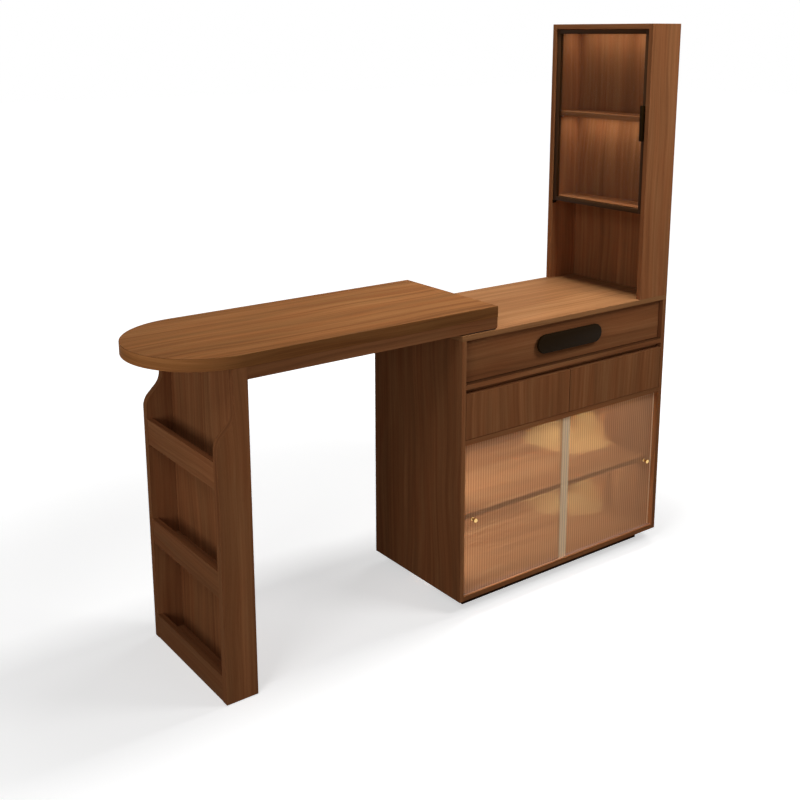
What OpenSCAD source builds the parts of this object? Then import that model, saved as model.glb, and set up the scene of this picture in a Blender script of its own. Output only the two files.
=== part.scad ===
// Bar cabinet with a sliding bar table.
// A base cabinet carries a narrow display tower, and a bar table on a magazine rack
// overlaps the worktop's left end and runs back over it.
// The pieces are drawn in cabinet coordinates: x runs from the cabinet's left side to its
// right, y from its front edges to its back, z up from the floor. placed() then moves the
// origin to the floor below the middle of the whole object.

/* [Cabinet] */
// Width over the side panels
cabinet_w = 1005; // [900:5:1200]
// Depth from the front edges to the back
cabinet_d = 500; // [420:5:560]
// Height of the worktop's upper face
worktop_h = 1000; // [940:5:1080]
// Thickness of the carcass boards
board_t = 18; // [15:1:22]
// Thickness of the cabinet's back panel
back_t = 9; // [5:1:12]

/* [Plinth] */
// Height of the plinth
plinth_h = 45; // [30:5:80]
// Setback of the plinth from the front edges
plinth_front_inset = 50; // [20:5:80]
// Setback of the plinth from each side
plinth_side_inset = 54; // [20:2:80]
// Setback of the plinth from the back
plinth_back_inset = 38; // [10:2:60]

/* [Drawers] */
// Clear height of the wide top drawer's bay
top_bay_h = 151; // [120:1:190]
// Clear height of the two small drawers' bay
small_bay_h = 178; // [150:1:210]
// Height of the finger gap over the small drawer fronts
finger_gap = 17; // [14:1:22]
// Room for fingertips behind the small drawer fronts
finger_room = 8; // [8:1:20]
// Room between the drawer boxes and the rail over them
rail_gap = 5; // [3:1:8]
// Setback of the top drawer's front from the front edges
front_recess = 18; // [16:1:26]
// Gap round the fronts and doors
front_gap = 2; // [1.5:0.5:3]
// Thickness of the drawer boxes' boards
box_t = 12; // [9:1:15]
// Height of the drawer boxes
box_h = 105; // [80:5:115]
// Length of the drawer boxes
box_l = 400; // [300:10:405]
// Thickness of the drawer bottoms
bottom_t = 5; // [3:1:8]
// Height of a drawer bottom over its box's lower edge
bottom_lift = 10; // [8:1:20]
// Depth of the groove that holds a drawer bottom
groove_d = 5; // [3:1:7]
// Play round a drawer bottom in its groove
bottom_play = 0.2; // [0.1:0.1:0.5]
// Height of a drawer box over the board below it
box_lift = 10; // [8:1:20]

/* [Drawer runners] */
// Length of the runners
runner_l = 400; // [300:10:405]
// Room for a runner on each side of a drawer box
runner_space = 13; // [12:0.5:15]
// Thickness of the runners' sheet steel
runner_t = 1.2; // [1:0.1:1.6]
// Height of a fixed channel
channel_h = 35; // [25:5:45]
// Depth of a fixed channel
channel_d = 9.6; // [8:0.2:10]
// Gap between a fixed channel and the slide that runs in it
runner_gap = 0.4; // [0.3:0.1:0.8]

/* [Drawer pull] */
// Length of the oblong pull plate
pull_l = 315; // [240:5:360]
// Height of the oblong pull plate
pull_h = 68; // [50:2:90]
// Height of the pull's middle over the middle of the front
pull_raise = 3; // [-10:1:10]
// Thickness of the pull plate
pull_plate_t = 8; // [5:1:9]
// Thickness of the base behind the plate
pull_base_t = 8; // [6:1:9]
// Undercut of the base behind the plate's rim, where the fingertips go
pull_undercut = 11; // [8:1:16]
// Chamfer round the plate's face
pull_chamfer = 2; // [1:0.5:3]

/* [Sliding glass doors] */
// Thickness of the reeded glass over its ribs
reed_glass_t = 5; // [4:0.5:6]
// Depth of the grooves between the ribs
reed_depth = 1.2; // [0.8:0.2:2]
// Distance from rib to rib
reed_pitch = 11.2; // [8:0.2:24]
// Overlap of the two doors at the middle
door_overlap = 36; // [30:2:80]
// Distance of the tracks behind the front edges
track_inset = 8; // [6:1:14]
// Thickness of the tracks' walls
track_wall = 2; // [1.5:0.5:3]
// Side play of the glass in its channel
track_play = 0.6; // [0.4:0.1:1]
// Height of the lower track, let into the bottom panel
lower_track_h = 6; // [5:1:10]
// Height of the upper track, let into the panel over the doors
upper_track_h = 12; // [11:1:14]
// Thickness of the tracks' webs
track_web = 1.5; // [1:0.5:2]
// Play of the glass over the lower track's web
glass_lift = 0.3; // [0.2:0.1:0.6]
// Play over the glass in the upper track, enough to lift a door out
glass_drop = 5.5; // [5:0.5:7]

/* [Door knobs] */
// Distance of a knob from its door's outer edge
knob_inset = 41; // [25:1:60]
// Height of the knobs over the floor
knob_z = 339; // [250:1:450]
// Diameter of a knob's head
knob_d = 16; // [12:1:22]
// Length of a knob in front of the glass
knob_l = 20; // [14:1:24]
// Radius of a knob's rounded front edge
knob_edge_r = 2; // [1:0.5:3]
// Thickness of a knob's head behind the rounded edge
knob_head_t = 3.6; // [2:0.2:5]
// Diameter of a knob's neck
knob_neck_d = 7.2; // [6:0.2:10]
// Diameter of a knob's flange on the glass
knob_flange_d = 12; // [11:0.5:14]
// Thickness of the flange, and of its cone up to the neck
knob_flange_t = 1.5; // [1:0.5:2]
// Diameter of a knob's stud through the glass
knob_stud_d = 4; // [3:0.5:5]
// Diameter of the washer behind the glass
knob_washer_d = 10; // [8:0.5:12]
// Thickness of the washer behind the glass
knob_washer_t = 1.6; // [1:0.2:2]

/* [Inner shelf] */
// Height of the shelf's lower face over the floor
shelf_z = 323; // [250:1:400]
// Setback of the shelf's front edge
shelf_inset = 45; // [40:1:90]
// Play at the shelves' ends
shelf_play = 0.5; // [0.3:0.1:1]

/* [Shelf pins] */
// Diameter of the shelf pins
pin_d = 5; // [4:0.5:6]
// Length of a pin in its board, and of the part that carries the shelf
pin_l = 8; // [6:1:10]
// Distance of the pins from the inner shelf's edges
pin_inset = 50; // [40:5:100]
// Distance of the pins from the tower shelf's edges
tower_pin_inset = 20; // [12:1:30]

/* [Tower] */
// Depth of the tower along the cabinet's front
tower_w = 150; // [125:5:200]
// Height of the tower over the floor
tower_h = 2000; // [1850:10:2150]
// Thickness of the tower's back panel
tower_back_t = 12; // [9:1:18]
// Height of the open niche over the worktop
niche_h = 319; // [280:1:380]
// Height of the middle shelf's lower face over the worktop
mid_shelf_h = 652; // [580:1:720]

/* [Tower screws] */
// Diameter of the screws that hold the tower from below
screw_d = 6; // [5:0.5:7]
// Length of the screws under their heads
screw_l = 45; // [35:1:55]
// Diameter of the screws' countersunk heads
screw_head_d = 11; // [9:0.5:12]
// Distance of the screws from the tower's edges
screw_inset = 35; // [25:1:50]

/* [Tower door] */
// Setback of the door's face from the tower's front edges
door_recess = 5; // [3:1:8]
// Width of the door's frame bars
frame_w = 16; // [14:1:24]
// Thickness of the door's frame
frame_t = 18; // [16:1:20]
// Thickness of the door's glass
glass_t = 5; // [4:1:6]
// Depth of the glass in the frame's groove
glass_hold = 6; // [4:1:8]
// Play of the glass in the frame's groove
glass_play = 0.3; // [0.2:0.1:0.5]
// Room between the door and the shelves behind it
door_back_gap = 2; // [1:0.5:4]
// Distance of the pivot axis behind the door's face
pivot_x = 4; // [3.5:0.5:5]
// Distance of the pivot axis from the door's hinge edge
pivot_y = 7; // [6:0.5:9]
// Diameter of the pivot pins
pivot_d = 5; // [4:0.5:6]
// Clearance round a pivot pin
pivot_play = 0.05; // [0.03:0.01:0.1]
// Depth of a pivot pin's bore in the door
pivot_l = 12; // [8:1:16]
// Room between a pivot pin's end and its bore's
pivot_end = 0.5; // [0.3:0.1:1]
// Thickness of the lower pivot's bracket
bracket_t = 3; // [2:0.5:4]
// Height of the bracket's upright leg
bracket_h = 12; // [10:1:20]
// Gap between the bracket and the door
bracket_gap = 0.6; // [0.4:0.1:1]

/* [Tower door handle] */
// Length of the handle
handle_l = 128; // [96:2:200]
// Width of the handle on the door's frame
handle_w = 10; // [8:1:12]
// Reach of the handle in front of the frame
handle_reach = 20; // [15:1:28]
// Thickness of the handle's walls
handle_wall = 3; // [2:0.5:4]

/* [Bar table] */
// Length of the table top
table_l = 1204; // [1000:2:1400]
// Height of the table top's upper face over the worktop
table_rise = 80; // [60:5:120]
// Thickness of the table top
table_t = 38; // [30:1:45]
// Overlap of the table over the worktop in the drawn-out place
table_overlap = 157; // [120:1:250]
// Distance of the table's front edge behind the cabinet's
table_y = 5; // [0:1:10]
// Reach of the table's back edge behind the cabinet's
table_overhang = 10; // [0:1:20]
// Setback of the aprons' faces from the table top's edge
apron_recess = 1; // [0.5:0.5:4]
// Gap between the aprons and the worktop
slide_gap = 4; // [3:0.5:6]
// Width of the glide strips under the aprons
glide_w = 10; // [8:1:14]
// Length of the glide strips
glide_l = 120; // [60:5:150]
// Clearance of the glide strips over the worktop
glide_play = 0.3; // [0.2:0.1:0.5]

/* [Magazine rack] */
// Distance of the rack's open face from the table's round end
rack_inset = 150; // [100:2:200]
// Depth of the rack from its open face to its back
rack_w = 107; // [90:1:150]
// Thickness of the rack's side boards
rack_side_t = 25; // [18:1:30]
// Thickness of the rack's back panel, pocket floors and lips
rack_board_t = 18; // [12:1:20]
// Setback of the side boards' upper part
rack_setback = 59; // [45:1:64]
// Height over the floor where the side boards' curve starts
rack_curve_z = 806; // [780:1:840]
// Radius of the curve's two arcs
rack_curve_r = 60; // [40:1:65]
// Slope of the curve between its arcs, from upright
rack_curve_angle = 45; // [35:1:48]
// Height of the pocket lips
lip_h = 84; // [60:2:110]
// Distance from pocket to pocket
pocket_pitch = 342; // [300:2:380]
// Number of pockets
pocket_count = 3; // [2:1:3]
// Setback of the lips' faces from the side boards' edges
lip_recess = 1; // [0.5:0.5:4]
// Height of the floor glides
floor_glide_h = 2; // [2:0.5:6]
// Diameter of the floor glides
floor_glide_d = 20; // [16:1:24]

/* [Hidden] */

// Colours
walnut = "#7a4f34";
walnut_dark = "#5b3826";
black = "#1d1c1b";
steel = "#b4b6b8";
brass = "#c9a24a";
glass = [0.78, 0.66, 0.52, 0.45];
clear_glass = [0.85, 0.86, 0.84, 0.3];
nylon = "#2b2724";

// Carcass
inner_left = board_t;
inner_right = cabinet_w - board_t;
inner_back = cabinet_d - back_t;
floor_z = plinth_h + board_t;
worktop_z = worktop_h - board_t;
deck_top = worktop_z - top_bay_h;
deck_z = deck_top - board_t;
head_top = deck_z - small_bay_h;
head_z = head_top - board_t;
middle = cabinet_w / 2;
divider = [middle - board_t / 2, middle + board_t / 2];

// Drawers: a bay is [left, right, board below], with the front's own limits beside it
top_front_x = [inner_left + front_gap, inner_right - front_gap];
top_front_y = [front_recess, front_recess + board_t];
top_front_z = [deck_top + front_gap, worktop_z - front_gap];
small_front_y = [0, board_t];
small_front_z = [head_top + front_gap, deck_z - finger_gap];
left_front_x = [inner_left + front_gap, middle - front_gap / 2];
right_front_x = [middle + front_gap / 2, inner_right - front_gap];
finger_rail_y = [small_front_y[1] + finger_room, small_front_y[1] + finger_room + board_t];
finger_rail_z = head_top + box_lift + box_h + rail_gap;
top_bay_x = [inner_left, inner_right];
left_bay_x = [inner_left, divider[0]];
right_bay_x = [divider[1], inner_right];

// Sliding doors: front and rear channel
track_channel = reed_glass_t + 2 * track_play;
track_pitch = track_channel + track_wall;
track_d = 2 * track_pitch + track_wall;
track_y = track_inset;
front_glass_y = track_y + track_wall + track_play;
rear_glass_y = front_glass_y + track_pitch;
reed_door_w = (inner_right - inner_left + door_overlap) / 2 - front_gap;
left_door_x = inner_left + front_gap;
right_door_x = inner_right - front_gap - reed_door_w;
reed_door_z = floor_z - lower_track_h + track_web + glass_lift;
reed_door_top = head_z + upper_track_h - track_web - glass_drop;
reed_door_h = reed_door_top - reed_door_z;

// Tower
tower_x = cabinet_w - tower_w;
tower_inner_back = cabinet_w - tower_back_t;
tower_front_y = [0, board_t];
tower_rear_y = [cabinet_d - board_t, cabinet_d];
tower_inner_y = [tower_front_y[1], tower_rear_y[0]];
niche_top = worktop_h + niche_h;
door_x = tower_x + door_recess;
door_back_x = door_x + frame_t;
door_y = [tower_inner_y[0] + front_gap, tower_inner_y[1] - front_gap];
door_z = [niche_top, tower_h - board_t - front_gap];
shelf_x = door_back_x + door_back_gap;
pivot_at = [door_x + pivot_x, door_y[1] - pivot_y];

// Table
table_h = worktop_h + table_rise;
table_x = [table_overlap - table_l, table_overlap];
table_yy = [table_y, cabinet_d + table_overhang];
table_d = table_yy[1] - table_yy[0];
apron_z = [worktop_h + slide_gap, table_h - table_t];
apron_y = [table_yy[0] + apron_recess, table_yy[1] - apron_recess];
apron_end_x = table_x[1] - apron_recess;
rack_x = [table_x[0] + rack_inset, table_x[0] + rack_inset + rack_w];
rack_top = table_h - table_t;
rack_inner_y = [table_yy[0] + rack_side_t, table_yy[1] - rack_side_t];

// Middle of the whole object
front_y = min(0, front_glass_y - knob_l);
back_y = max(cabinet_d, table_yy[1]);
middle_of_all = [(table_x[0] + cabinet_w) / 2, (front_y + back_y) / 2];

// Moves a piece from cabinet coordinates to the object's own frame
module placed() {
    translate([-middle_of_all[0], -middle_of_all[1], 0]) children();
}

// A board between the given limits along x, y and z
module board(x, y, z) {
    translate([x[0], y[0], z[0]]) cube([x[1] - x[0], y[1] - y[0], z[1] - z[0]]);
}

// A cylinder along y, from y0 to y1
module pin_y(x, z, y0, y1, d) {
    translate([x, y0, z]) rotate([-90, 0, 0]) cylinder(d = d, h = y1 - y0, $fn = 48);
}

// A cylinder along x, from x0 to x1
module pin_x(y, z, x0, x1, d) {
    translate([x0, y, z]) rotate([0, 90, 0]) cylinder(d = d, h = x1 - x0, $fn = 48);
}

// Plinth
module plinth_rails() {
    color(walnut_dark)
        for (y = [plinth_front_inset, cabinet_d - plinth_back_inset - board_t])
            board([plinth_side_inset, cabinet_w - plinth_side_inset], [y, y + board_t],
                  [0, plinth_h]);
}

module plinth_ends() {
    color(walnut_dark)
        for (x = [plinth_side_inset, cabinet_w - plinth_side_inset - board_t])
            board([x, x + board_t],
                  [plinth_front_inset + board_t, cabinet_d - plinth_back_inset - board_t],
                  [0, plinth_h]);
}

// Carcass
// Groove that takes a sliding door track of height h, with its mouth at the height z
module track_groove(z, h) {
    board([inner_left - 1, inner_right + 1], [track_y, track_y + track_d], [z, z + h]);
}

module bottom_panel() {
    color(walnut) difference() {
        board([inner_left, inner_right], [0, inner_back], [plinth_h, floor_z]);
        track_groove(floor_z - lower_track_h, lower_track_h + 1);
    }
}

// Shelf pin places: [y, z] of each pin
inner_pins = [for (y = [shelf_inset + pin_inset, inner_back - pin_inset]) [y, shelf_z - pin_d / 2]];

module side_panel(x) {
    difference() {
        board(x, [0, cabinet_d], [plinth_h, worktop_z]);
        for (p = inner_pins)
            pin_x(p[0], p[1],
                  x[0] == 0 ? inner_left - pin_l : inner_right - 1,
                  x[0] == 0 ? inner_left + 1 : inner_right + pin_l, pin_d);
    }
}

module left_side_panel() {
    color(walnut) side_panel([0, inner_left]);
}

module right_side_panel() {
    color(walnut) side_panel([inner_right, cabinet_w]);
}

module worktop() {
    color(walnut) difference() {
        board([0, cabinet_w], [0, cabinet_d], [worktop_z, worktop_h]);
        tower_screws();
    }
}

module cabinet_back_panel() {
    color(walnut_dark)
        board([inner_left, inner_right], [inner_back, cabinet_d], [plinth_h, worktop_z]);
}

module drawer_deck() {
    color(walnut) board([inner_left, inner_right], [0, inner_back], [deck_z, deck_top]);
}

// The divider is notched round the rail over the small drawers
module centre_divider() {
    color(walnut) difference() {
        board(divider, [small_front_y[1] + front_gap, inner_back], [head_top, deck_z]);
        board([divider[0] - 1, divider[1] + 1], [0, finger_rail_y[1]], [finger_rail_z, deck_z + 1]);
    }
}

// Rail that closes the finger gap over the small drawers
module finger_rail() {
    color(walnut) board([inner_left, inner_right], finger_rail_y, [finger_rail_z, deck_z]);
}

module door_head_panel() {
    color(walnut) difference() {
        board([inner_left, inner_right], [0, inner_back], [head_z, head_top]);
        track_groove(head_z - 1, upper_track_h + 1);
    }
}

module inner_shelf() {
    color(walnut)
        board([inner_left + shelf_play, inner_right - shelf_play],
              [shelf_inset, inner_back - shelf_play], [shelf_z, shelf_z + board_t]);
}

module shelf_pins() {
    color(steel)
        for (p = inner_pins, x = [inner_left - pin_l, inner_right - pin_l])
            pin_x(p[0], p[1], x, x + 2 * pin_l, pin_d);
}

// Sliding door tracks: a web with three walls, drawn in the y-z plane
module track_profile(h) {
    square([track_d, track_web]);
    for (i = [0 : 2]) translate([i * track_pitch, 0]) square([track_wall, h]);
}

module track(h) {
    translate([inner_left, 0, 0]) rotate([90, 0, 90])
        linear_extrude(inner_right - inner_left) translate([track_y, 0]) track_profile(h);
}

module upper_track() {
    color(walnut_dark)
        translate([0, 0, head_z + upper_track_h]) mirror([0, 0, 1]) track(upper_track_h);
}

module lower_track() {
    color(walnut_dark) translate([0, 0, floor_z - lower_track_h]) track(lower_track_h);
}

// Reeded glass: flat in front, with round ribs behind, drawn in the x-y plane
module reeded_profile(w) {
    ribs = round(w / reed_pitch);
    pitch = w / ribs;
    steps = 6;
    polygon(concat(
        [[0, 0], [w, 0]],
        [for (i = [ribs * steps : -1 : 0])
            [i * pitch / steps,
             reed_glass_t - reed_depth * (1 - sin(180 * (i % steps) / steps))]]
    ));
}

module reeded_door(x, y, knob_x) {
    difference() {
        translate([x, y, reed_door_z]) linear_extrude(reed_door_h) reeded_profile(reed_door_w);
        pin_y(knob_x, knob_z, y - 1, y + reed_glass_t + 1, knob_stud_d);
    }
}

left_knob_x = left_door_x + knob_inset;
right_knob_x = right_door_x + reed_door_w - knob_inset;

module left_glass_door() {
    color(glass) reeded_door(left_door_x, front_glass_y, left_knob_x);
}

module right_glass_door() {
    color(glass) reeded_door(right_door_x, rear_glass_y, right_knob_x);
}

// Turned knob: head, neck and flange in front of the glass, stud and washer behind it.
// The profile's second coordinate is the distance in front of the glass.
module knob(x, y) {
    r = knob_d / 2;
    neck_r = knob_neck_d / 2;
    back = -reed_glass_t - knob_washer_t;
    edge_z = knob_l - knob_edge_r;
    head_z = edge_z - knob_head_t;
    translate([x, y, knob_z]) rotate([90, 0, 0])
        rotate_extrude($fn = 64)
            polygon(concat(
                [[0, back], [knob_washer_d / 2, back], [knob_washer_d / 2, -reed_glass_t],
                 [knob_stud_d / 2, -reed_glass_t], [knob_stud_d / 2, 0], [knob_flange_d / 2, 0],
                 [knob_flange_d / 2, knob_flange_t], [neck_r, 2 * knob_flange_t],
                 [neck_r, head_z - (r - neck_r) / 2], [r, head_z]],
                [for (a = [0 : 15 : 90]) [r, edge_z] + knob_edge_r * [cos(a) - 1, sin(a)]],
                [[0, knob_l]]
            ));
}

module left_door_knob() {
    color(brass) knob(left_knob_x, front_glass_y);
}

module right_door_knob() {
    color(brass) knob(right_knob_x, rear_glass_y);
}

// Height of a drawer's box and runners, from the board below it
function box_z(base) = base + box_lift;
function runner_z(base) = box_z(base) + (box_h - channel_h) / 2;

// Sheet steel C of height h and depth d, open towards +x, from y backwards by the runners' length
module steel_channel(y, h, d) {
    translate([0, y + runner_l, 0]) rotate([90, 0, 0]) linear_extrude(runner_l)
        difference() {
            square([d, h]);
            translate([runner_t, runner_t]) square([d, h - 2 * runner_t]);
        }
}

// The fixed channels on a bay's two walls, open towards the drawer
module channels(bay, base, y) {
    for (side = [0, 1])
        translate([bay[side], 0, runner_z(base)]) mirror([side, 0, 0])
            steel_channel(y, channel_h, channel_d);
}

// The slides on a drawer box's two sides, open towards the walls, inside the fixed channels
module slides(bay, base, y) {
    inset = runner_t + runner_gap;
    for (side = [0, 1])
        translate([bay[side], 0, runner_z(base) + inset]) mirror([side, 0, 0])
            translate([runner_space, 0, 0]) mirror([1, 0, 0])
                steel_channel(y, channel_h - 2 * inset, runner_space - inset);
}

module drawer_channels() {
    color(steel) {
        channels(top_bay_x, deck_top, top_front_y[1]);
        channels(left_bay_x, head_top, small_front_y[1]);
        channels(right_bay_x, head_top, small_front_y[1]);
    }
}

// Drawer box: four boards glued into a frame, grooved round for the bottom
module drawer_box(bay, base, y) {
    x = [bay[0] + runner_space, bay[1] - runner_space];
    z = [box_z(base), box_z(base) + box_h];
    difference() {
        board(x, [y, y + box_l], z);
        board([x[0] + box_t, x[1] - box_t], [y + box_t, y + box_l - box_t], [z[0] - 1, z[1] + 1]);
        drawer_bottom(bay, base, y, 0);
    }
}

module drawer_bottom(bay, base, y, play) {
    edge = box_t - groove_d + play;
    x = [bay[0] + runner_space + edge, bay[1] - runner_space - edge];
    z = box_z(base) + bottom_lift;
    board(x, [y + edge, y + box_l - edge], [z, z + bottom_t]);
}

// Top drawer
module top_drawer_front() {
    color(walnut) board(top_front_x, top_front_y, top_front_z);
}

// Oblong outline round the pull's middle, in the x-z plane, with its rim moved in by edge
module oblong(edge, t) {
    r = pull_h / 2 - edge;
    half = pull_l / 2 - pull_h / 2;
    rotate([90, 0, 0]) linear_extrude(t) {
        square([2 * half, 2 * r], center = true);
        for (x = [-half, half]) translate([x, 0]) circle(r, $fn = 96);
    }
}

pull_z = (top_front_z[0] + top_front_z[1]) / 2 + pull_raise;

module pull_base() {
    color(black) translate([middle, top_front_y[0], pull_z]) oblong(pull_undercut, pull_base_t);
}

module pull_plate() {
    r = pull_h / 2;
    half = pull_l / 2 - r;
    body = pull_plate_t - pull_chamfer;
    color(black) translate([middle, top_front_y[0] - pull_base_t, pull_z]) {
        oblong(0, body);
        // chamfered rim, as two cone ends and a trapezoid bar
        rotate([90, 0, 0]) {
            for (x = [-half, half]) translate([x, 0, body])
                cylinder(r1 = r, r2 = r - pull_chamfer, h = pull_chamfer, $fn = 96);
            translate([-half, 0, 0]) rotate([90, 0, 90]) linear_extrude(2 * half)
                polygon([[-r, body], [r, body], [r - pull_chamfer, pull_plate_t],
                         [pull_chamfer - r, pull_plate_t]]);
        }
    }
}

module top_drawer_box() {
    color(walnut_dark) drawer_box(top_bay_x, deck_top, top_front_y[1]);
}

module top_drawer_bottom() {
    color(walnut_dark) drawer_bottom(top_bay_x, deck_top, top_front_y[1], bottom_play);
}

module top_drawer_slides() {
    color(steel) slides(top_bay_x, deck_top, top_front_y[1]);
}

// Small drawers
module left_drawer_front() {
    color(walnut) board(left_front_x, small_front_y, small_front_z);
}

module left_drawer_box() {
    color(walnut_dark) drawer_box(left_bay_x, head_top, small_front_y[1]);
}

module left_drawer_bottom() {
    color(walnut_dark) drawer_bottom(left_bay_x, head_top, small_front_y[1], bottom_play);
}

module left_drawer_slides() {
    color(steel) slides(left_bay_x, head_top, small_front_y[1]);
}

module right_drawer_front() {
    color(walnut) board(right_front_x, small_front_y, small_front_z);
}

module right_drawer_box() {
    color(walnut_dark) drawer_box(right_bay_x, head_top, small_front_y[1]);
}

module right_drawer_bottom() {
    color(walnut_dark) drawer_bottom(right_bay_x, head_top, small_front_y[1], bottom_play);
}

module right_drawer_slides() {
    color(steel) slides(right_bay_x, head_top, small_front_y[1]);
}

// Tower
mid_shelf_z = worktop_h + mid_shelf_h;
tower_pins = [
    for (x = [shelf_x + tower_pin_inset, tower_inner_back - tower_pin_inset])
        [x, mid_shelf_z - pin_d / 2]
];

module tower_side(y) {
    difference() {
        board([tower_x, cabinet_w], y, [worktop_h, tower_h]);
        tower_screws();
        for (p = tower_pins)
            pin_y(p[0], p[1],
                  y[0] == 0 ? tower_inner_y[0] - pin_l : tower_inner_y[1] - 1,
                  y[0] == 0 ? tower_inner_y[0] + 1 : tower_inner_y[1] + pin_l, pin_d);
    }
}

// Countersunk screws through the worktop into the end grain of the tower's two sides
module tower_screws() {
    head_h = (screw_head_d - screw_d) / 2;
    color(steel)
        for (x = [tower_x + screw_inset, cabinet_w - screw_inset],
             y = [tower_front_y, tower_rear_y])
            translate([x, (y[0] + y[1]) / 2, worktop_z]) {
                cylinder(d1 = screw_head_d, d2 = screw_d, h = head_h, $fn = 48);
                cylinder(d = screw_d, h = screw_l, $fn = 48);
            }
}

module tower_front_side() {
    color(walnut) tower_side(tower_front_y);
}

module tower_rear_side() {
    color(walnut) tower_side(tower_rear_y);
}

module tower_top() {
    color(walnut) difference() {
        board([tower_x, tower_inner_back], tower_inner_y, [tower_h - board_t, tower_h]);
        translate([pivot_at[0], pivot_at[1], tower_h - board_t - 1])
            cylinder(d = pivot_d, h = 1 + board_t / 2, $fn = 48);
    }
}

module tower_back_panel() {
    color(walnut) board([tower_inner_back, cabinet_w], tower_inner_y, [worktop_h, tower_h]);
}

module tower_lower_shelf() {
    color(walnut) board([shelf_x, tower_inner_back], tower_inner_y, [niche_top, niche_top + board_t]);
}

module tower_mid_shelf() {
    color(walnut)
        board([shelf_x, tower_inner_back - shelf_play],
              [tower_inner_y[0] + shelf_play, tower_inner_y[1] - shelf_play],
              [mid_shelf_z, mid_shelf_z + board_t]);
}

module tower_shelf_pins() {
    color(steel)
        for (p = tower_pins, y = [tower_inner_y[0] - pin_l, tower_inner_y[1] - pin_l])
            pin_y(p[0], p[1], y, y + 2 * pin_l, pin_d);
}

// Upper pivot: a pin in the top panel. Lower pivot: a pin on an angle bracket on the rear side.
module door_pivots() {
    leg = [tower_inner_y[1] - bracket_t, tower_inner_y[1]];
    plate_z = [door_z[0] - bracket_gap - bracket_t, door_z[0] - bracket_gap];
    color(black) {
        translate([pivot_at[0], pivot_at[1], door_z[1] - pivot_l + pivot_end])
            cylinder(d = pivot_d, h = pivot_l - pivot_end + front_gap + board_t / 2, $fn = 48);
        board([door_x, door_back_x], [pivot_at[1] - pivot_d, tower_inner_y[1]], plate_z);
        board([door_x, door_back_x], leg, [plate_z[1] - bracket_h, plate_z[0]]);
        translate([pivot_at[0], pivot_at[1], plate_z[0]])
            cylinder(d = pivot_d, h = bracket_t + bracket_gap + pivot_l - pivot_end, $fn = 48);
    }
}

// Tower door: two stiles run full height, the rails stand between them
inner_door_y = [door_y[0] + frame_w, door_y[1] - frame_w];
glass_x = door_x + (frame_t - glass_t) / 2;

module tower_door_pane(play) {
    hold = glass_hold - play;
    board([glass_x + play, glass_x + glass_t - play],
          [inner_door_y[0] - hold, inner_door_y[1] + hold],
          [door_z[0] + frame_w - hold, door_z[1] - frame_w + hold]);
}

module frame_bar(y, z) {
    difference() {
        board([door_x, door_back_x], y, z);
        tower_door_pane(0);
        for (end = [door_z[0] - 1, door_z[1] - pivot_l])
            translate([pivot_at[0], pivot_at[1], end])
                cylinder(d = pivot_d + 2 * pivot_play, h = pivot_l + 1, $fn = 48);
    }
}

module door_hinge_stile() {
    color(black) frame_bar([inner_door_y[1], door_y[1]], door_z);
}

module door_handle_stile() {
    color(black) frame_bar([door_y[0], inner_door_y[0]], door_z);
}

module door_top_rail() {
    color(black) frame_bar(inner_door_y, [door_z[1] - frame_w, door_z[1]]);
}

module door_bottom_rail() {
    color(black) frame_bar(inner_door_y, [door_z[0], door_z[0] + frame_w]);
}

module tower_door_glass() {
    color(clear_glass) tower_door_pane(glass_play);
}

// Handle: a channel on the handle stile, open away from the hinge side for the fingertips
module tower_door_handle() {
    z = (door_z[0] + door_z[1] - handle_l) / 2;
    color(black) translate([door_x, door_y[0], z]) linear_extrude(handle_l)
        polygon([[0, 0], [0, handle_w], [-handle_wall, handle_w], [-handle_wall, handle_wall],
                 [handle_wall - handle_reach, handle_wall], [handle_wall - handle_reach, handle_w],
                 [-handle_reach, handle_w], [-handle_reach, 0]]);
}

// Bar table: straight board with one half-round end
module table_top() {
    r = table_d / 2;
    color(walnut) translate([0, 0, table_h - table_t]) linear_extrude(table_t) {
        translate([table_x[0] + r, table_yy[0]]) square([table_l - r, table_d]);
        translate([table_x[0] + r, table_yy[0] + r]) circle(r, $fn = 180);
    }
}

module front_apron() {
    color(walnut) board([rack_x[1], apron_end_x], [apron_y[0], apron_y[0] + board_t], apron_z);
}

module rear_apron() {
    color(walnut) board([rack_x[1], apron_end_x], [apron_y[1] - board_t, apron_y[1]], apron_z);
}

module end_apron() {
    color(walnut)
        board([apron_end_x - board_t, apron_end_x],
              [apron_y[0] + board_t, apron_y[1] - board_t], apron_z);
}

// Glide strips under the two long aprons, where they rest on the worktop
module worktop_glides() {
    inset = (board_t - glide_w) / 2;
    color(nylon)
        for (y = [apron_y[0] + inset, apron_y[1] - board_t + inset])
            board([apron_end_x - glide_l, apron_end_x - inset], [y, y + glide_w],
                  [worktop_h + glide_play, apron_z[0]]);
}

// Magazine rack: side board outline in the x-z plane, with an S-curve from two arcs
module rack_side_outline() {
    a = rack_curve_angle;
    steps = 12;
    run = (rack_setback - 2 * rack_curve_r * (1 - cos(a))) / tan(a);
    rise = 2 * rack_curve_r * sin(a) + run;
    upper_x = rack_x[0] + rack_setback;
    lower = [rack_x[0] + rack_curve_r, rack_curve_z];
    upper = [upper_x - rack_curve_r, rack_curve_z + rise];
    polygon(concat(
        [[rack_x[0], floor_glide_h]],
        [for (i = [0 : steps])
            let (t = 180 - a * i / steps)
            lower + rack_curve_r * [cos(t), sin(t)]],
        [for (i = [0 : steps])
            let (t = -a * (1 - i / steps))
            upper + rack_curve_r * [cos(t), sin(t)]],
        [[upper_x, rack_top], [rack_x[1], rack_top], [rack_x[1], floor_glide_h]]
    ));
}

module rack_side(y) {
    translate([0, y + rack_side_t, 0]) rotate([90, 0, 0]) linear_extrude(rack_side_t)
        rack_side_outline();
}

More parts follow.
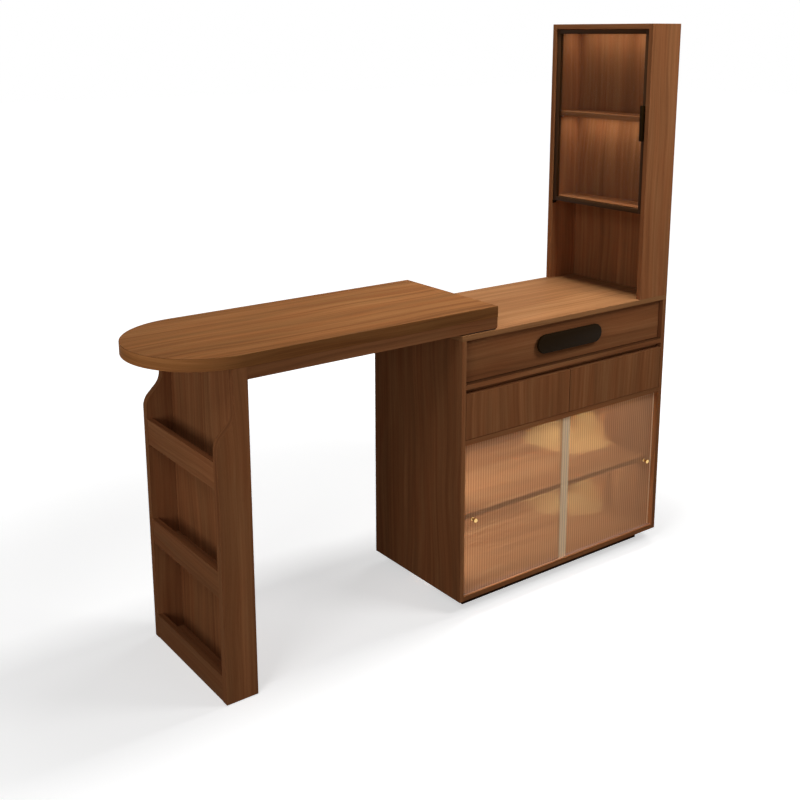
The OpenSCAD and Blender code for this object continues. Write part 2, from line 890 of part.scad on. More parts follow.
module rack_front_side() {
    color(walnut) rack_side(table_yy[0]);
}

module rack_rear_side() {
    color(walnut) rack_side(table_yy[1] - rack_side_t);
}

module rack_back_panel() {
    color(walnut)
        board([rack_x[1] - rack_board_t, rack_x[1]], rack_inner_y, [floor_glide_h, rack_top]);
}

module rack_floors() {
    x = [rack_x[0] + lip_recess + rack_board_t, rack_x[1] - rack_board_t];
    color(walnut)
        for (i = [0 : pocket_count - 1])
            let (z = floor_glide_h + i * pocket_pitch)
            board(x, rack_inner_y, [z, z + rack_board_t]);
}

module rack_lips() {
    x = rack_x[0] + lip_recess;
    color(walnut)
        for (i = [0 : pocket_count - 1])
            let (z = floor_glide_h + i * pocket_pitch)
            board([x, x + rack_board_t], rack_inner_y, [z, z + lip_h]);
}

// Four nylon glides under the rack's side boards
module floor_glides() {
    color(nylon)
        for (x = [rack_x[0] + rack_side_t, rack_x[1] - rack_side_t],
             y = [table_yy[0] + rack_side_t / 2, table_yy[1] - rack_side_t / 2])
            translate([x, y, 0]) cylinder(d = floor_glide_d, h = floor_glide_h, $fn = 48);
}

placed() plinth_rails();
placed() plinth_ends();
placed() bottom_panel();
placed() left_side_panel();
placed() right_side_panel();
placed() worktop();
placed() cabinet_back_panel();
placed() drawer_deck();
placed() centre_divider();
placed() finger_rail();
placed() door_head_panel();
placed() inner_shelf();
placed() shelf_pins();
placed() upper_track();
placed() lower_track();
placed() drawer_channels();
placed() tower_front_side();
placed() tower_rear_side();
placed() tower_top();
placed() tower_back_panel();
placed() tower_lower_shelf();
placed() tower_mid_shelf();
placed() tower_shelf_pins();
placed() tower_screws();
placed() door_pivots();
placed() top_drawer_front();
placed() pull_base();
placed() pull_plate();
placed() top_drawer_box();
placed() top_drawer_bottom();
placed() top_drawer_slides();
placed() left_drawer_front();
placed() left_drawer_box();
placed() left_drawer_bottom();
placed() left_drawer_slides();
placed() right_drawer_front();
placed() right_drawer_box();
placed() right_drawer_bottom();
placed() right_drawer_slides();
placed() left_glass_door();
placed() left_door_knob();
placed() right_glass_door();
placed() right_door_knob();
placed() door_hinge_stile();
placed() door_handle_stile();
placed() door_top_rail();
placed() door_bottom_rail();
placed() tower_door_glass();
placed() tower_door_handle();
placed() table_top();
placed() front_apron();
placed() rear_apron();
placed() end_apron();
placed() worktop_glides();
placed() rack_front_side();
placed() rack_rear_side();
placed() rack_back_panel();
placed() rack_floors();
placed() rack_lips();
placed() floor_glides();
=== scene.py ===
"""Looks of the bar cabinet with its sliding bar table.

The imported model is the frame. Every wooden board gets softened edges and its own sheet of
walnut veneer, the sliding doors become reeded glass, and the fittings get their metals.
All lengths are in metres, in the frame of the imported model.
"""

import logging
import math
from dataclasses import dataclass
from enum import Enum
from typing import Any, Optional, Union

import bmesh
import bpy
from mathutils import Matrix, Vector


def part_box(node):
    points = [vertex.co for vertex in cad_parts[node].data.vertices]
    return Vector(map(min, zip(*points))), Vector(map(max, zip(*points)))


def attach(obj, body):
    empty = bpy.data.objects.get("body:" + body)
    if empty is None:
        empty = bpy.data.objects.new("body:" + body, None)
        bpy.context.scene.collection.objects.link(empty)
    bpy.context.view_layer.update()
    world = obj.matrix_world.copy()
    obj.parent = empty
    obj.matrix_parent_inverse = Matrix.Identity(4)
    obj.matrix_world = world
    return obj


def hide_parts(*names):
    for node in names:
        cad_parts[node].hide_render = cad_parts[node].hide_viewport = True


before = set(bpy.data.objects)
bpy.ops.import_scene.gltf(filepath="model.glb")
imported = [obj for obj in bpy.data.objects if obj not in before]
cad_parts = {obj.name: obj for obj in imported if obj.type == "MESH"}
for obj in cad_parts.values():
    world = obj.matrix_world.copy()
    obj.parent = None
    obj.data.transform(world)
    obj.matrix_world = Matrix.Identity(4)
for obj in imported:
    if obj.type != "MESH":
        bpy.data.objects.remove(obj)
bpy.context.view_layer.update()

Colour = tuple[float, float, float]
Point = tuple[float, float, float]
Size = tuple[float, float]
Settings = Optional[dict[str, Any]]
Inputs = Optional[dict[Union[str, int], Any]]

VENEER = "veneer"
# Name of the tone attribute: each board's tone, with painted light and painted shade where a board
# sets them.
TONE_AND_PAINTED_LIGHT = "tone"
CROWN = "crown"
LIGHT_BAND = "light_band_colour"
FRONT = "front"
MM = 0.001
WHITE: Colour = (1.0, 1.0, 1.0)
NOISE_RANGE: Size = (0.3, 0.7)

log = logging.getLogger("bar_cabinet")


class Grain(Enum):
    """Direction of a board's grain, as the number of the frame's axis."""

    ALONG_X = 0
    ALONG_Y = 1
    ALONG_Z = 2


class Body(Enum):
    """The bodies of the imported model."""

    CABINET = "cabinet"
    TOP_DRAWER = "top_drawer"
    LEFT_DRAWER = "left_drawer"
    RIGHT_DRAWER = "right_drawer"
    LEFT_DOOR = "left_door"
    RIGHT_DOOR = "right_door"
    TOWER_DOOR = "tower_door"
    BAR_TABLE = "bar_table"


class Signal:
    """A socket's value, so that maths on it can be written as a Python expression."""

    def __init__(self, tree: "Tree", socket: bpy.types.NodeSocket) -> None:
        """Wraps a socket.

        Args:
            tree: the tree that new nodes go into.
            socket: the output socket that carries the value.
        """
        self.tree = tree
        self.socket = socket

    def maths(self, operation: str, *values: Any) -> "Signal":
        """Adds one Math node.

        Args:
            operation: the node's operation.
            *values: its inputs in order, signals or numbers.

        Returns:
            The node's result.
        """
        inputs = dict(enumerate(values))
        return self.tree.signal("ShaderNodeMath", {"operation": operation}, inputs)

    def __add__(self, other: Any) -> "Signal":
        """self + other"""
        return self.maths("ADD", self, other)

    def __sub__(self, other: Any) -> "Signal":
        """self - other"""
        return self.maths("SUBTRACT", self, other)

    def __rsub__(self, other: Any) -> "Signal":
        """other - self"""
        return self.maths("SUBTRACT", other, self)

    def __mul__(self, other: Any) -> "Signal":
        """self * other"""
        return self.maths("MULTIPLY", self, other)

    def __truediv__(self, other: Any) -> "Signal":
        """self / other"""
        return self.maths("DIVIDE", self, other)

    def __pow__(self, other: Any) -> "Signal":
        """self ** other"""
        return self.maths("POWER", self, other)

    __radd__ = __add__
    __rmul__ = __mul__

    def above(self, other: Any) -> "Signal":
        """1 where the value is greater than other, else 0."""
        return self.maths("GREATER_THAN", self, other)

    def larger(self, other: Any) -> "Signal":
        """The larger of the value and other."""
        return self.maths("MAXIMUM", self, other)

    def ramp(self, low: float, high: float, to_low: float = 0.0, to_high: float = 1.0) -> "Signal":
        """Takes low to to_low and high to to_high, smoothly, and stays there outside.

        Args:
            low: the value that gives to_low.
            high: the value that gives to_high.
            to_low: the result at low.
            to_high: the result at high.

        Returns:
            The mapped value.
        """
        inputs = {0: self, 1: low, 2: high, 3: to_low, 4: to_high}
        settings = {"interpolation_type": "SMOOTHSTEP"}
        return self.tree.signal("ShaderNodeMapRange", settings, inputs)


class Tree:
    """A node tree that is built by code, for a material, the world or a geometry."""

    def __init__(self, nodes: bpy.types.NodeTree) -> None:
        """Takes an empty node tree."""
        self.nodes = nodes

    @staticmethod
    def of(owner: Union[bpy.types.Material, bpy.types.World]) -> "Tree":
        """Empties the node tree of a material or of the world.

        Args:
            owner: the material or the world.

        Returns:
            Its tree.
        """
        owner.use_nodes = True
        owner.node_tree.nodes.clear()
        return Tree(owner.node_tree)

    def node(self, kind: str, settings: Settings = None, inputs: Inputs = None) -> bpy.types.Node:
        """Adds one node.

        Args:
            kind: the node's type.
            settings: its properties, or "stops" for a colour ramp's stops, set first.
            inputs: a value, a socket or a signal for each named or numbered input.

        Returns:
            The new node.
        """
        made = self.nodes.nodes.new(kind)
        for key, value in (settings or {}).items():
            if key == "stops":
                self._set_stops(made.color_ramp, value)
            else:
                setattr(made, key, value)
        for key, value in (inputs or {}).items():
            if isinstance(value, Signal):
                value = value.socket
            if isinstance(value, bpy.types.NodeSocket):
                self.nodes.links.new(value, made.inputs[key])
            else:
                made.inputs[key].default_value = value
        return made

    def signal(
        self,
        kind: str,
        settings: Settings = None,
        inputs: Inputs = None,
        output: Union[str, int] = 0,
    ) -> Signal:
        """Adds one node and gives one of its outputs as a signal.

        Args:
            kind: the node's type.
            settings: as in node().
            inputs: as in node().
            output: the name or number of the output.

        Returns:
            The output's value.
        """
        return Signal(self, self.node(kind, settings, inputs).outputs[output])

    def vector(self, x: Any = 0.0, y: Any = 0.0, z: Any = 0.0) -> Signal:
        """The vector of three parts, which are signals or numbers."""
        return self.signal("ShaderNodeCombineXYZ", None, {0: x, 1: y, 2: z})

    def split(self, vector: Any) -> list[Signal]:
        """The three parts of a vector."""
        parts = self.node("ShaderNodeSeparateXYZ", None, {0: vector})
        return [Signal(self, socket) for socket in parts.outputs]

    def vector_maths(self, operation: str, inputs: Inputs, output: str = "Vector") -> Signal:
        """One Vector Math node's result."""
        return self.signal("ShaderNodeVectorMath", {"operation": operation}, inputs, output)

    def colours(self, factor: Signal, *stops: tuple[float, Colour]) -> Signal:
        """The colour that a ramp with these stops gives for a factor."""
        return self.signal("ShaderNodeValToRGB", {"stops": stops}, {0: factor})

    def bump(self, strength: float, distance: float, height: Signal) -> Signal:
        """The normal that a height gives."""
        inputs = {"Strength": strength, "Distance": distance, "Height": height}
        return self.signal("ShaderNodeBump", None, inputs)

    def mix(self, share: Signal, first: Signal, second: Signal) -> Signal:
        """Two shaders mixed, from the first alone at 0 to the second alone at 1."""
        return self.signal("ShaderNodeMixShader", None, {0: share, 1: first, 2: second})

    def attribute(self, name: str, output: str = "Fac") -> Signal:
        """What the mesh keeps under a name, as a number or another output."""
        settings = {"attribute_type": "GEOMETRY", "attribute_name": name}
        return self.signal("ShaderNodeAttribute", settings, output=output)

    def noise(self, x: Any, y: Any, z: Any, detail: float = 2.0, roughness: float = 0.5) -> Signal:
        """Smooth noise at a point, about 0.5 on average.

        Args:
            x: the point's first coordinate, a signal or a number.
            y: its second coordinate.
            z: its third coordinate.
            detail: number of finer layers.
            roughness: share of each finer layer.

        Returns:
            The noise.
        """
        inputs = {
            "Vector": self.vector(x, y, z),
            "Scale": 1.0,
            "Detail": detail,
            "Roughness": roughness,
        }
        return self.signal("ShaderNodeTexNoise", {"noise_dimensions": "3D"}, inputs)

    def object_noise(self, cells: Point, detail: float = 2.0) -> Signal:
        """Smooth noise on the Object coordinates.

        Args:
            cells: number of its cells per metre, along each axis.
            detail: number of finer layers.

        Returns:
            The noise.
        """
        place = self.split(self.node("ShaderNodeTexCoord").outputs["Object"])
        return self.noise(*(part * count for part, count in zip(place, cells)), detail)

    def ray_is(self, *kinds: str) -> Signal:
        """1 for a ray of any of these kinds, else 0.

        Args:
            *kinds: names of Light Path outputs.

        Returns:
            The test's result.
        """
        rays = self.node("ShaderNodeLightPath")
        found, *others = (Signal(self, rays.outputs[kind]) for kind in kinds)
        for other in others:
            found = found.larger(other)
        return found

    @staticmethod
    def _set_stops(ramp: bpy.types.ColorRamp, stops: tuple[tuple[float, Colour], ...]) -> None:
        """Gives a colour ramp exactly these stops.

        Args:
            ramp: the ramp to change.
            stops: a position and a colour for each stop.
        """
        while len(ramp.elements) < len(stops):
            ramp.elements.new(1.0)
        for element, (position, colour) in zip(ramp.elements, stops):
            element.position = position
            element.color = (*colour, 1.0)


@dataclass(frozen=True)
class Layer:
    """One layer of the veneer's figure: noise that is drawn out along the grain.

    along is its number of cells per metre. across is that too for the two layers that bend the
    streaks, and the number of cells per streak for the others.
    """

    along: float
    across: float
    per_sheet: float
    first_sheet: float = 0.0
    detail: float = 2.0
    roughness: float = 0.5
    weight: float = 1.0

    def noise(self, tree: Tree, along: Signal, across: Signal, sheet: Signal) -> Signal:
        """The layer's noise at a place on a sheet.

        Args:
            tree: the material's tree.
            along: the way along the grain.
            across: the way across it.
            sheet: the sheet's number.

        Returns:
            The noise, about 0.5 on average.
        """
        depth = sheet * self.per_sheet + self.first_sheet
        place = (along * self.along, across * self.across, depth)
        return tree.noise(*place, self.detail, self.roughness)

    def swing(self, tree: Tree, *place: Signal) -> Signal:
        """The layer's weighted noise, about 0 on average."""
        return (self.noise(tree, *place) - 0.5) * self.weight


DRIFT = Layer(1.6, 3.0, 7.3, detail=1.0, weight=4.0)
RIPPLE = Layer(7.0, 9.0, 3.1, 20.0, weight=0.35)
BROAD = Layer(0.5, 0.16, 11.7, weight=0.85)
BANDS = Layer(2.2, 0.42, 6.7, 9.0, detail=1.0, weight=0.45)
STREAKS = Layer(1.1, 1.0, 5.9, 40.0, 3.0, 0.62, weight=0.95)
FIBRES = Layer(9.0, 7.0, 2.3, roughness=0.6, weight=0.45)
PORES = Layer(70.0, 15.4, 4.1, 60.0, detail=1.0)
BLUSH = Layer(3.1, 0.25, 8.9, 30.0)


class Finish:
    """What every finish shares: a material that is made once, with its output."""

    name: str
    slot: str

    def material(self) -> bpy.types.Material:
        """The finish's material, made on its first use.

        Returns:
            The material.
        """
        made = bpy.data.materials.get(self.name)
        if made is None:
            made = bpy.data.materials.new(self.name)
            tree = Tree.of(made)
            tree.node("ShaderNodeOutputMaterial", None, {"Surface": self.surface(tree)})
        return made

    def surface(self, tree: Tree) -> Signal:
        """Builds the finish's nodes in a tree and returns its shader."""
        raise NotImplementedError


@dataclass(frozen=True)
class Walnut(Finish):
    """Walnut veneer, drawn on the board's own veneer coordinates.

    The veneer attribute gives the way along the grain, the way across it and the number of the
    sheet, so neighbouring boards and faces don't continue each other's pattern.
    """

    name: str
    slot: str
    dark: Colour
    middle: Colour
    pale: Colour
    roughness: float = 0.5
    specular: float = 0.004
    streak_pitch: float = 0.011
    wander: float = 0.018
    contrast: float = 0.55
    blush: Colour = (1.0, 0.90, 0.86)
    colour_span: float = 0.26
    blush_span: float = 0.15
    sheet_tones: Size = (0.96, 1.04)
    sheet_step: float = 13.3
    pore_range: Size = (0.62, 0.74)
    pore_shade: float = 0.10
    pore_rough: float = 0.15
    fibre_rough: float = 0.25
    relief: float = 0.15 * MM
    relief_strength: float = 0.25

    def surface(self, tree: Tree) -> Signal:
        """Builds streaks, fine fibres and pores along the grain.

        Args:
            tree: the material's tree.

        Returns:
            The shader.
        """
        along, across, sheet = tree.split(tree.attribute(VENEER, "Vector"))
        bend = DRIFT.swing(tree, along, across, sheet) + RIPPLE.swing(tree, along, across, sheet)
        place = (along, (across + bend * self.wander) / self.streak_pitch, sheet)
        fibres = FIBRES.noise(tree, *place)
        pores = PORES.noise(tree, *place).ramp(*self.pore_range)
        figure = (fibres - 0.5) * FIBRES.weight
        for layer in (BROAD, BANDS, STREAKS):
            figure = figure + layer.swing(tree, *place)
        shade = 0.5 + figure * self.contrast - pores * self.pore_shade

        low, high = 0.5 - self.colour_span, 0.5 + self.colour_span
        colour = tree.colours(shade, (low, self.dark), (0.5, self.middle), (high, self.pale))
        low, high = 0.5 - self.blush_span, 0.5 + self.blush_span
        blush = tree.colours(BLUSH.noise(tree, *place), (low, WHITE), (high, self.blush))
        warmed = tree.vector_maths("MULTIPLY", {0: colour, 1: blush})
        # Random tone per sheet, times the tone attribute, which carries each board's painted light
        # and painted shade.
        chance = tree.noise(sheet * self.sheet_step, 0.5, 0.5, 0.0)
        tone = chance.ramp(*NOISE_RANGE, *self.sheet_tones) * tree.attribute(TONE_AND_PAINTED_LIGHT)
        rough = (fibres - 0.5) * self.fibre_rough + pores * self.pore_rough
        return tree.signal(
            "ShaderNodeBsdfPrincipled",
            None,
            {
                "Base Color": tree.vector_maths("SCALE", {0: warmed, "Scale": tone}),
                "Roughness": self.roughness + rough,
                "Specular IOR Level": self.specular,
                "Normal": tree.bump(self.relief_strength, self.relief, fibres * 0.4 - pores),
            },
        )


@dataclass(frozen=True)
class Metal(Finish):
    """Bare or coated metal with a fine tooth, on Object coordinates."""

    name: str
    slot: str
    colour: Colour
    metallic: float = 1.0
    roughness: float = 0.3
    specular: float = 0.5
    tooth: float = 900.0
    stretch: Point = (1.0, 1.0, 1.0)
    clouds: float = 23.0
    mottle: float = 0.12
    grit_rough: float = 0.15
    cloud_rough: float = 0.08
    relief: float = 0.05 * MM
    relief_strength: float = 0.3

    def surface(self, tree: Tree) -> Signal:
        """Builds the metal's mottled colour and fine relief.

        Args:
            tree: the material's tree.

        Returns:
            The shader.
        """
        grit = tree.object_noise(tuple(self.tooth * share for share in self.stretch))
        cloud = tree.object_noise((self.clouds,) * 3, 3.0)
        tone = 1.0 + (cloud - 0.5) * self.mottle + (grit - 0.5) * self.mottle
        rough = (grit - 0.5) * self.grit_rough + (cloud - 0.5) * self.cloud_rough
        return tree.signal(
            "ShaderNodeBsdfPrincipled",
            None,
            {
                "Base Color": tree.vector_maths("SCALE", {0: self.colour, "Scale": tone}),
                "Metallic": self.metallic,
                "Roughness": self.roughness + rough,
                "Specular IOR Level": self.specular,
                "Normal": tree.bump(self.relief_strength, self.relief, grit),
            },
        )


@dataclass(frozen=True)
class Glass(Finish):
    """Glass that lets the lamps' light through to what stands behind it."""

    name: str
    slot: str
    tint: Colour
    shadow_tint: Colour
    ior: float = 1.2
    roughness: float = 0.0
    ripple: float = 0.0
    ripple_cells: Point = (14.0, 14.0, 9.0)
    ripple_strength: float = 0.2
    painted_groove_shade: Optional[Colour] = None
    haze: Colour = (0.88, 0.46, 0.25)
    haze_share: float = 0.42
    haze_reed_shade: float = 0.4
    light_band_colour: Colour = (1.0, 0.72, 0.46)
    light_band_share: float = 0.95
    film_roughness: float = 0.5
    film_specular: float = 0.2

    def surface(self, tree: Tree) -> Signal:
        """Builds clear or tinted glass, with painted shade in the grooves and a film where it has
        reeds.

        Args:
            tree: the material's tree.

        Returns:
            The shader.
        """
        wave = tree.object_noise(self.ripple_cells, 1.0)
        colour: Any = (*self.tint, 1.0)
        # Painted shade: the glass's colour darkens towards the grooves, for the dark lines at the
        # reeds' edges.
        if self.painted_groove_shade:
            ridge = tree.attribute(CROWN) ** 2.0
            colour = tree.colours(ridge, (0.0, self.painted_groove_shade), (1.0, self.tint))
        shown = tree.signal(
            "ShaderNodeBsdfPrincipled",
            None,
            {
                "Base Color": colour,
                "Roughness": self.roughness,
                "IOR": self.ior,
                "Transmission Weight": 1.0,
                "Normal": tree.bump(self.ripple_strength, self.ripple, wave),
            },
        )
        if self.painted_groove_shade:
            shown = self.add_film(tree, shown, ridge)
        through = tree.signal("ShaderNodeBsdfTransparent", None, {0: (*self.shadow_tint, 1.0)})
        return tree.mix(tree.ray_is("Is Shadow Ray", "Is Diffuse Ray"), shown, through)

    def add_film(self, tree: Tree, clear: Signal, ridge: Signal) -> Signal:
        """Lays a thin haze and the pale band over the front of the glass; the pale band is painted
        light.

        Args:
            tree: the material's tree.
            clear: the glass's own shader.
            ridge: 1 on the reeds' crowns, 0 in the grooves.

        Returns:
            The shader of both.
        """
        band = tree.attribute(LIGHT_BAND)
        paint = tree.colours(band, (0.0, self.haze), (1.0, self.light_band_colour))
        # Painted light and shade on the reeds: the film is lighter on the crowns and darker in the
        # grooves.
        reeds = 1.0 + (ridge - 0.5) * self.haze_reed_shade
        film = tree.signal(
            "ShaderNodeBsdfPrincipled",
            None,
            {
                "Base Color": tree.vector_maths("SCALE", {0: paint, "Scale": reeds}),
                "Roughness": self.film_roughness,
                "Specular IOR Level": self.film_specular,
            },
        )
        share = self.haze_share + band * (self.light_band_share - self.haze_share)
        return tree.mix(tree.attribute(FRONT) * share, clear, film)


WALNUT = Walnut(
    "walnut_veneer", "walnut", (0.17, 0.066, 0.026), (0.28, 0.114, 0.045), (0.40, 0.175, 0.073)
)
WALNUT_WORKTOP = Walnut(
    "walnut_worktop",
    "walnut",
    (0.18, 0.080, 0.032),
    (0.285, 0.131, 0.052),
    (0.40, 0.193, 0.080),
    blush=(1.0, 0.95, 0.93),
)
WALNUT_TABLE = Walnut(
    "walnut_table",
    "walnut",
    (0.17, 0.067, 0.022),
    (0.28, 0.116, 0.037),
    (0.40, 0.178, 0.062),
    contrast=0.7,
)
WALNUT_INSIDE = Walnut(
    "walnut_interior",
    "walnut_inside",
    (0.17, 0.068, 0.027),
    (0.25, 0.104, 0.043),
    (0.33, 0.145, 0.062),
    roughness=0.6,
    contrast=0.4,
)
BLACK_METAL = Metal("black_coat", "black_metal", (0.016, 0.0075, 0.0016), 0.0, 0.42, 0.03)
BRONZE_METAL = Metal("bronze_coat", "black_metal", (0.062, 0.027, 0.0105), 0.0, 0.42, 0.04)
BRASS = Metal("turned_brass", "brass", (0.72, 0.47, 0.18), 1.0, 0.26, stretch=(0.2, 0.2, 1.0))
STEEL = Metal("zinc_steel", "steel", (0.50, 0.51, 0.52), 1.0, 0.38, stretch=(1.0, 0.03, 1.0))
BROWN_PLASTIC = Metal("track_plastic", "brown_plastic", (0.22, 0.10, 0.05), 0.0, 0.5, 0.1)
# Paler than the upper track: partly the track's own colour, partly painted light where its channel
# lies in shade.
PALE_PLASTIC = Metal("floor_track", "brown_plastic", (0.50, 0.29, 0.20), 0.0, 0.5, 0.1)
NYLON = Metal("glide_nylon", "nylon", (0.030, 0.028, 0.026), 0.0, 0.6, 0.2)
REEDED_GLASS = Glass(
    "ribbed_glass",
    "reeded_glass",
    (0.86, 0.97, 0.98),
    (0.94, 0.94, 0.92),
    ior=1.01,
    painted_groove_shade=(0.50, 0.56, 0.55),
)
DOOR_GLASS = Glass(
    "clear_glass",
    "door_glass",
    (0.985, 0.98, 0.97),
    (0.97, 0.97, 0.96),
    ior=1.06,
    ripple=0.02 * MM,
)

JOIN_DISTANCE = 0.005 * MM
FLAT_TURN = math.radians(0.5)
SHARP_TURN = math.radians(40)
# Vertices nearer to a face than this share of its edge's rounding take the face's shade.
EDGE_REACH = 0.9


def add_object(name: str, data: bpy.types.ID) -> bpy.types.Object:
    """Adds an object to the scene.

    Args:
        name: its name.
        data: its mesh, lamp or camera.

    Returns:
        The new object.
    """
    made = bpy.data.objects.new(name, data)
    bpy.context.scene.collection.objects.link(made)
    return made


def mesh_of(shape: bmesh.types.BMesh, name: str) -> bpy.types.Mesh:
    """Turns a finished shape into a mesh and frees it.

    Args:
        shape: the shape.
        name: the mesh's name.

    Returns:
        The mesh.
    """
    mesh = bpy.data.meshes.new(name)
    shape.to_mesh(mesh)
    shape.free()
    return mesh


def cad_copy(node: str) -> bmesh.types.BMesh:
    """A copy of a CAD node's mesh, with its loose triangles joined into whole flat faces.

    Args:
        node: the node's name.

    Returns:
        The copy, in place.
    """
    shape = bmesh.new()
    shape.from_mesh(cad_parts[node].data)
    bmesh.ops.remove_doubles(shape, verts=shape.verts, dist=JOIN_DISTANCE)
    bmesh.ops.dissolve_limit(shape, angle_limit=FLAT_TURN, verts=shape.verts, edges=shape.edges)
    return shape


def soften(shape: bmesh.types.BMesh, radius: float, steps: int, shortest: float) -> None:
    """Rounds a shape's sharp edges.

    Args:
        shape: the shape to change.
        radius: radius of the rounding.
        steps: number of strips in each rounding.
        shortest: edges shorter than this stay sharp.
    """
    sharp = [
        edge
        for edge in shape.edges
        if len(edge.link_faces) == 2
        and edge.calc_face_angle() > SHARP_TURN
        and edge.calc_length() > shortest
    ]
    bmesh.ops.bevel(
        shape,
        geom=sharp,
        offset=radius,
        offset_type="OFFSET",
        segments=steps,
        profile=0.5,
        affect="EDGES",
        clamp_overlap=True,
    )


def shade_by_angle(shape: bmesh.types.BMesh, degrees: float) -> None:
    """Shades a shape smooth, apart from the edges that turn by more than an angle.

    Args:
        shape: the shape to change.
        degrees: the angle.
    """
    for face in shape.faces:
        face.smooth = True
    for edge in shape.edges:
        edge.smooth = len(edge.link_faces) == 2 and edge.calc_face_angle() < math.radians(degrees)


def make_piece(
    mesh: bpy.types.Mesh, name: str, body: Body, finish: Finish, nodes: tuple[str, ...] = ()
) -> bpy.types.Object:
    """Makes a piece of a mesh and gives it its finish, its body and the nodes it stands for.

    Args:
        mesh: the finished mesh, in place.
        name: the piece's name.
        body: the body that it moves with.
        finish: its finish.
        nodes: CAD nodes that it stands for.

    Returns:
        The new piece.
    """
    mesh.name = name
    mesh.materials.clear()
    mesh.materials.append(finish.material())
    piece = add_object(name, mesh)
    if nodes:
        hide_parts(*nodes)
    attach(piece, body.value)
    log.info("%s rides on %s, in %s", name, body.value, finish.name)
    return piece


def dress(node: str, finish: Finish) -> None:
    """Gives a CAD node that stays its finish.

    Args:
        node: the node's name.
        finish: its finish.
    """
    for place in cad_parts[node].material_slots:
        place.material = finish.material()
    log.info("%s keeps its solid, in %s", node, finish.name)


Kept = tuple[tuple[str, Finish], ...]


@dataclass
class Board:
    """A veneered board: the CAD board with softened edges and a veneer of its own."""

    node: str
    grain: Grain
    finish: Walnut = WALNUT
    # Multiplies the veneer's colour; several boards below set it as painted light or painted
    # shade.
    tone: float = 1.0
    edge: float = 0.6 * MM
    steps: int = 2
    shortest_edge: float = 10 * MM
    smooth_angle: float = 10.0
    end_normal: float = 0.8
    axis_offset: float = 0.31
    far_face_offset: float = 0.17

    def __post_init__(self) -> None:
        """Looks up the board's box."""
        self.low, self.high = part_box(self.node)

    def build(self, body: Body, sheet: int) -> None:
        """Makes the board.

        Args:
            body: the body that it moves with.
            sheet: the number of its veneer sheet.
        """
        shape = cad_copy(self.node)
        soften(shape, self.edge, self.steps, self.shortest_edge)
        self.shape_cuts(shape)
        shade_by_angle(shape, self.smooth_angle)
        self.lay_veneer(shape, sheet)
        name = self.node + "_veneered"
        piece = make_piece(mesh_of(shape, name), name, body, self.finish, (self.node,))
        # The tone attribute holds painted light and painted shade: the board's tone times shade_at
        # at each vertex.
        tones = piece.data.attributes.new(TONE_AND_PAINTED_LIGHT, "FLOAT", "POINT")
        shades = [self.tone * self.shade_at(corner.co) for corner in piece.data.vertices]
        tones.data.foreach_set("value", shades)

    def shade_at(self, place: Vector) -> float:
        """Share of the board's tone at a point, here the whole of it."""
        return 1.0

    def shape_cuts(self, shape: bmesh.types.BMesh) -> None:
        """Further cuts in the faces, here none."""

    def lay_veneer(self, shape: bmesh.types.BMesh, sheet: int) -> None:
        """Writes the veneer coordinates of every face.

        Args:
            shape: the board's shape.
            sheet: the number of its veneer sheet.
        """
        layer = shape.loops.layers.float_vector.new(VENEER)
        size = self.high - self.low
        for face in shape.faces:
            facing = max(range(3), key=lambda i: abs(face.normal[i]))
            along = self.grain.value
            if abs(face.normal[along]) > self.end_normal:
                along = max((i for i in range(3) if i != along), key=lambda i: size[i])
            across = 3 - along - facing if facing != along else (along + 1) % 3
            far_face = face.normal[facing] > 0
            side = self.axis_offset * facing + (self.far_face_offset if far_face else 0.0)
            for loop in face.loops:
                place = loop.vert.co
                loop[layer] = self.veneer_at(place, face.normal, along, across, sheet + side)

    def veneer_at(
        self, place: Vector, normal: Vector, along: int, across: int, sheet: float
    ) -> Vector:
        """Veneer coordinates of one corner of a face.

        Args:
            place: the corner.
            normal: the face's normal.
            along: number of the axis along the grain.
            across: number of the axis across it.
            sheet: the face's sheet number.

        Returns:
            The way along the grain, the way across it and the sheet number.
        """
        return Vector((place[along], place[across], sheet))


@dataclass
class RoundEndBoard(Board):
    """The table top, whose edge band runs round its half-round end."""

    # Painted shade on the straight edges and along the top arris, painted light growing round the
    # half-round end.
    edge_shade_share: float = 0.82
    end_light_gain: float = 0.9
    arris_shade_share: float = 0.5
    face_depth: float = 0.1 * MM
    flat_normal: float = 0.6

    def __post_init__(self) -> None:
        """Looks up the board's box and works out the round end's radius."""
        super().__post_init__()
        self.radius = (self.high.y - self.low.y) / 2

    def veneer_at(
        self, place: Vector, normal: Vector, along: int, across: int, sheet: float
    ) -> Vector:
        """Veneer coordinates, with the edge band measured along the rim.

        Args:
            place: the corner.
            normal: the face's normal.
            along: number of the axis along the grain.
            across: number of the axis across it.
            sheet: the face's sheet number.

        Returns:
            The way along the grain, the way across it and the sheet number.
        """
        if abs(normal.z) > self.flat_normal:
            return Vector((place.x, place.y, sheet))
        centre = Vector((self.low.x + self.radius, self.low.y + self.radius))
        if place.x > centre.x:
            way = place.x - centre.x
            round_rim = -way if place.y < centre.y else math.pi * self.radius + way
        else:
            round_rim = math.atan2(centre.x - place.x, centre.y - place.y) * self.radius
        return Vector((round_rim, place.z, math.floor(sheet) + 0.5))

    def shade_at(self, place: Vector) -> float:
        """Share of the board's tone at a point: painted shade along the straight edges and the top
        arris, painted light round the half-round end.

        Args:
            place: the point.

        Returns:
            1 on the flat faces, less along the straight edges, more round the end.
        """
        if not self.low.z + self.face_depth <= place.z <= self.high.z - self.face_depth:
            return 1.0
        if place.z > self.high.z - self.edge * EDGE_REACH:
            return self.arris_shade_share
        way = max(0.0, (self.low.x + self.radius - place.x) / self.radius)
        return self.edge_shade_share + self.end_light_gain * way


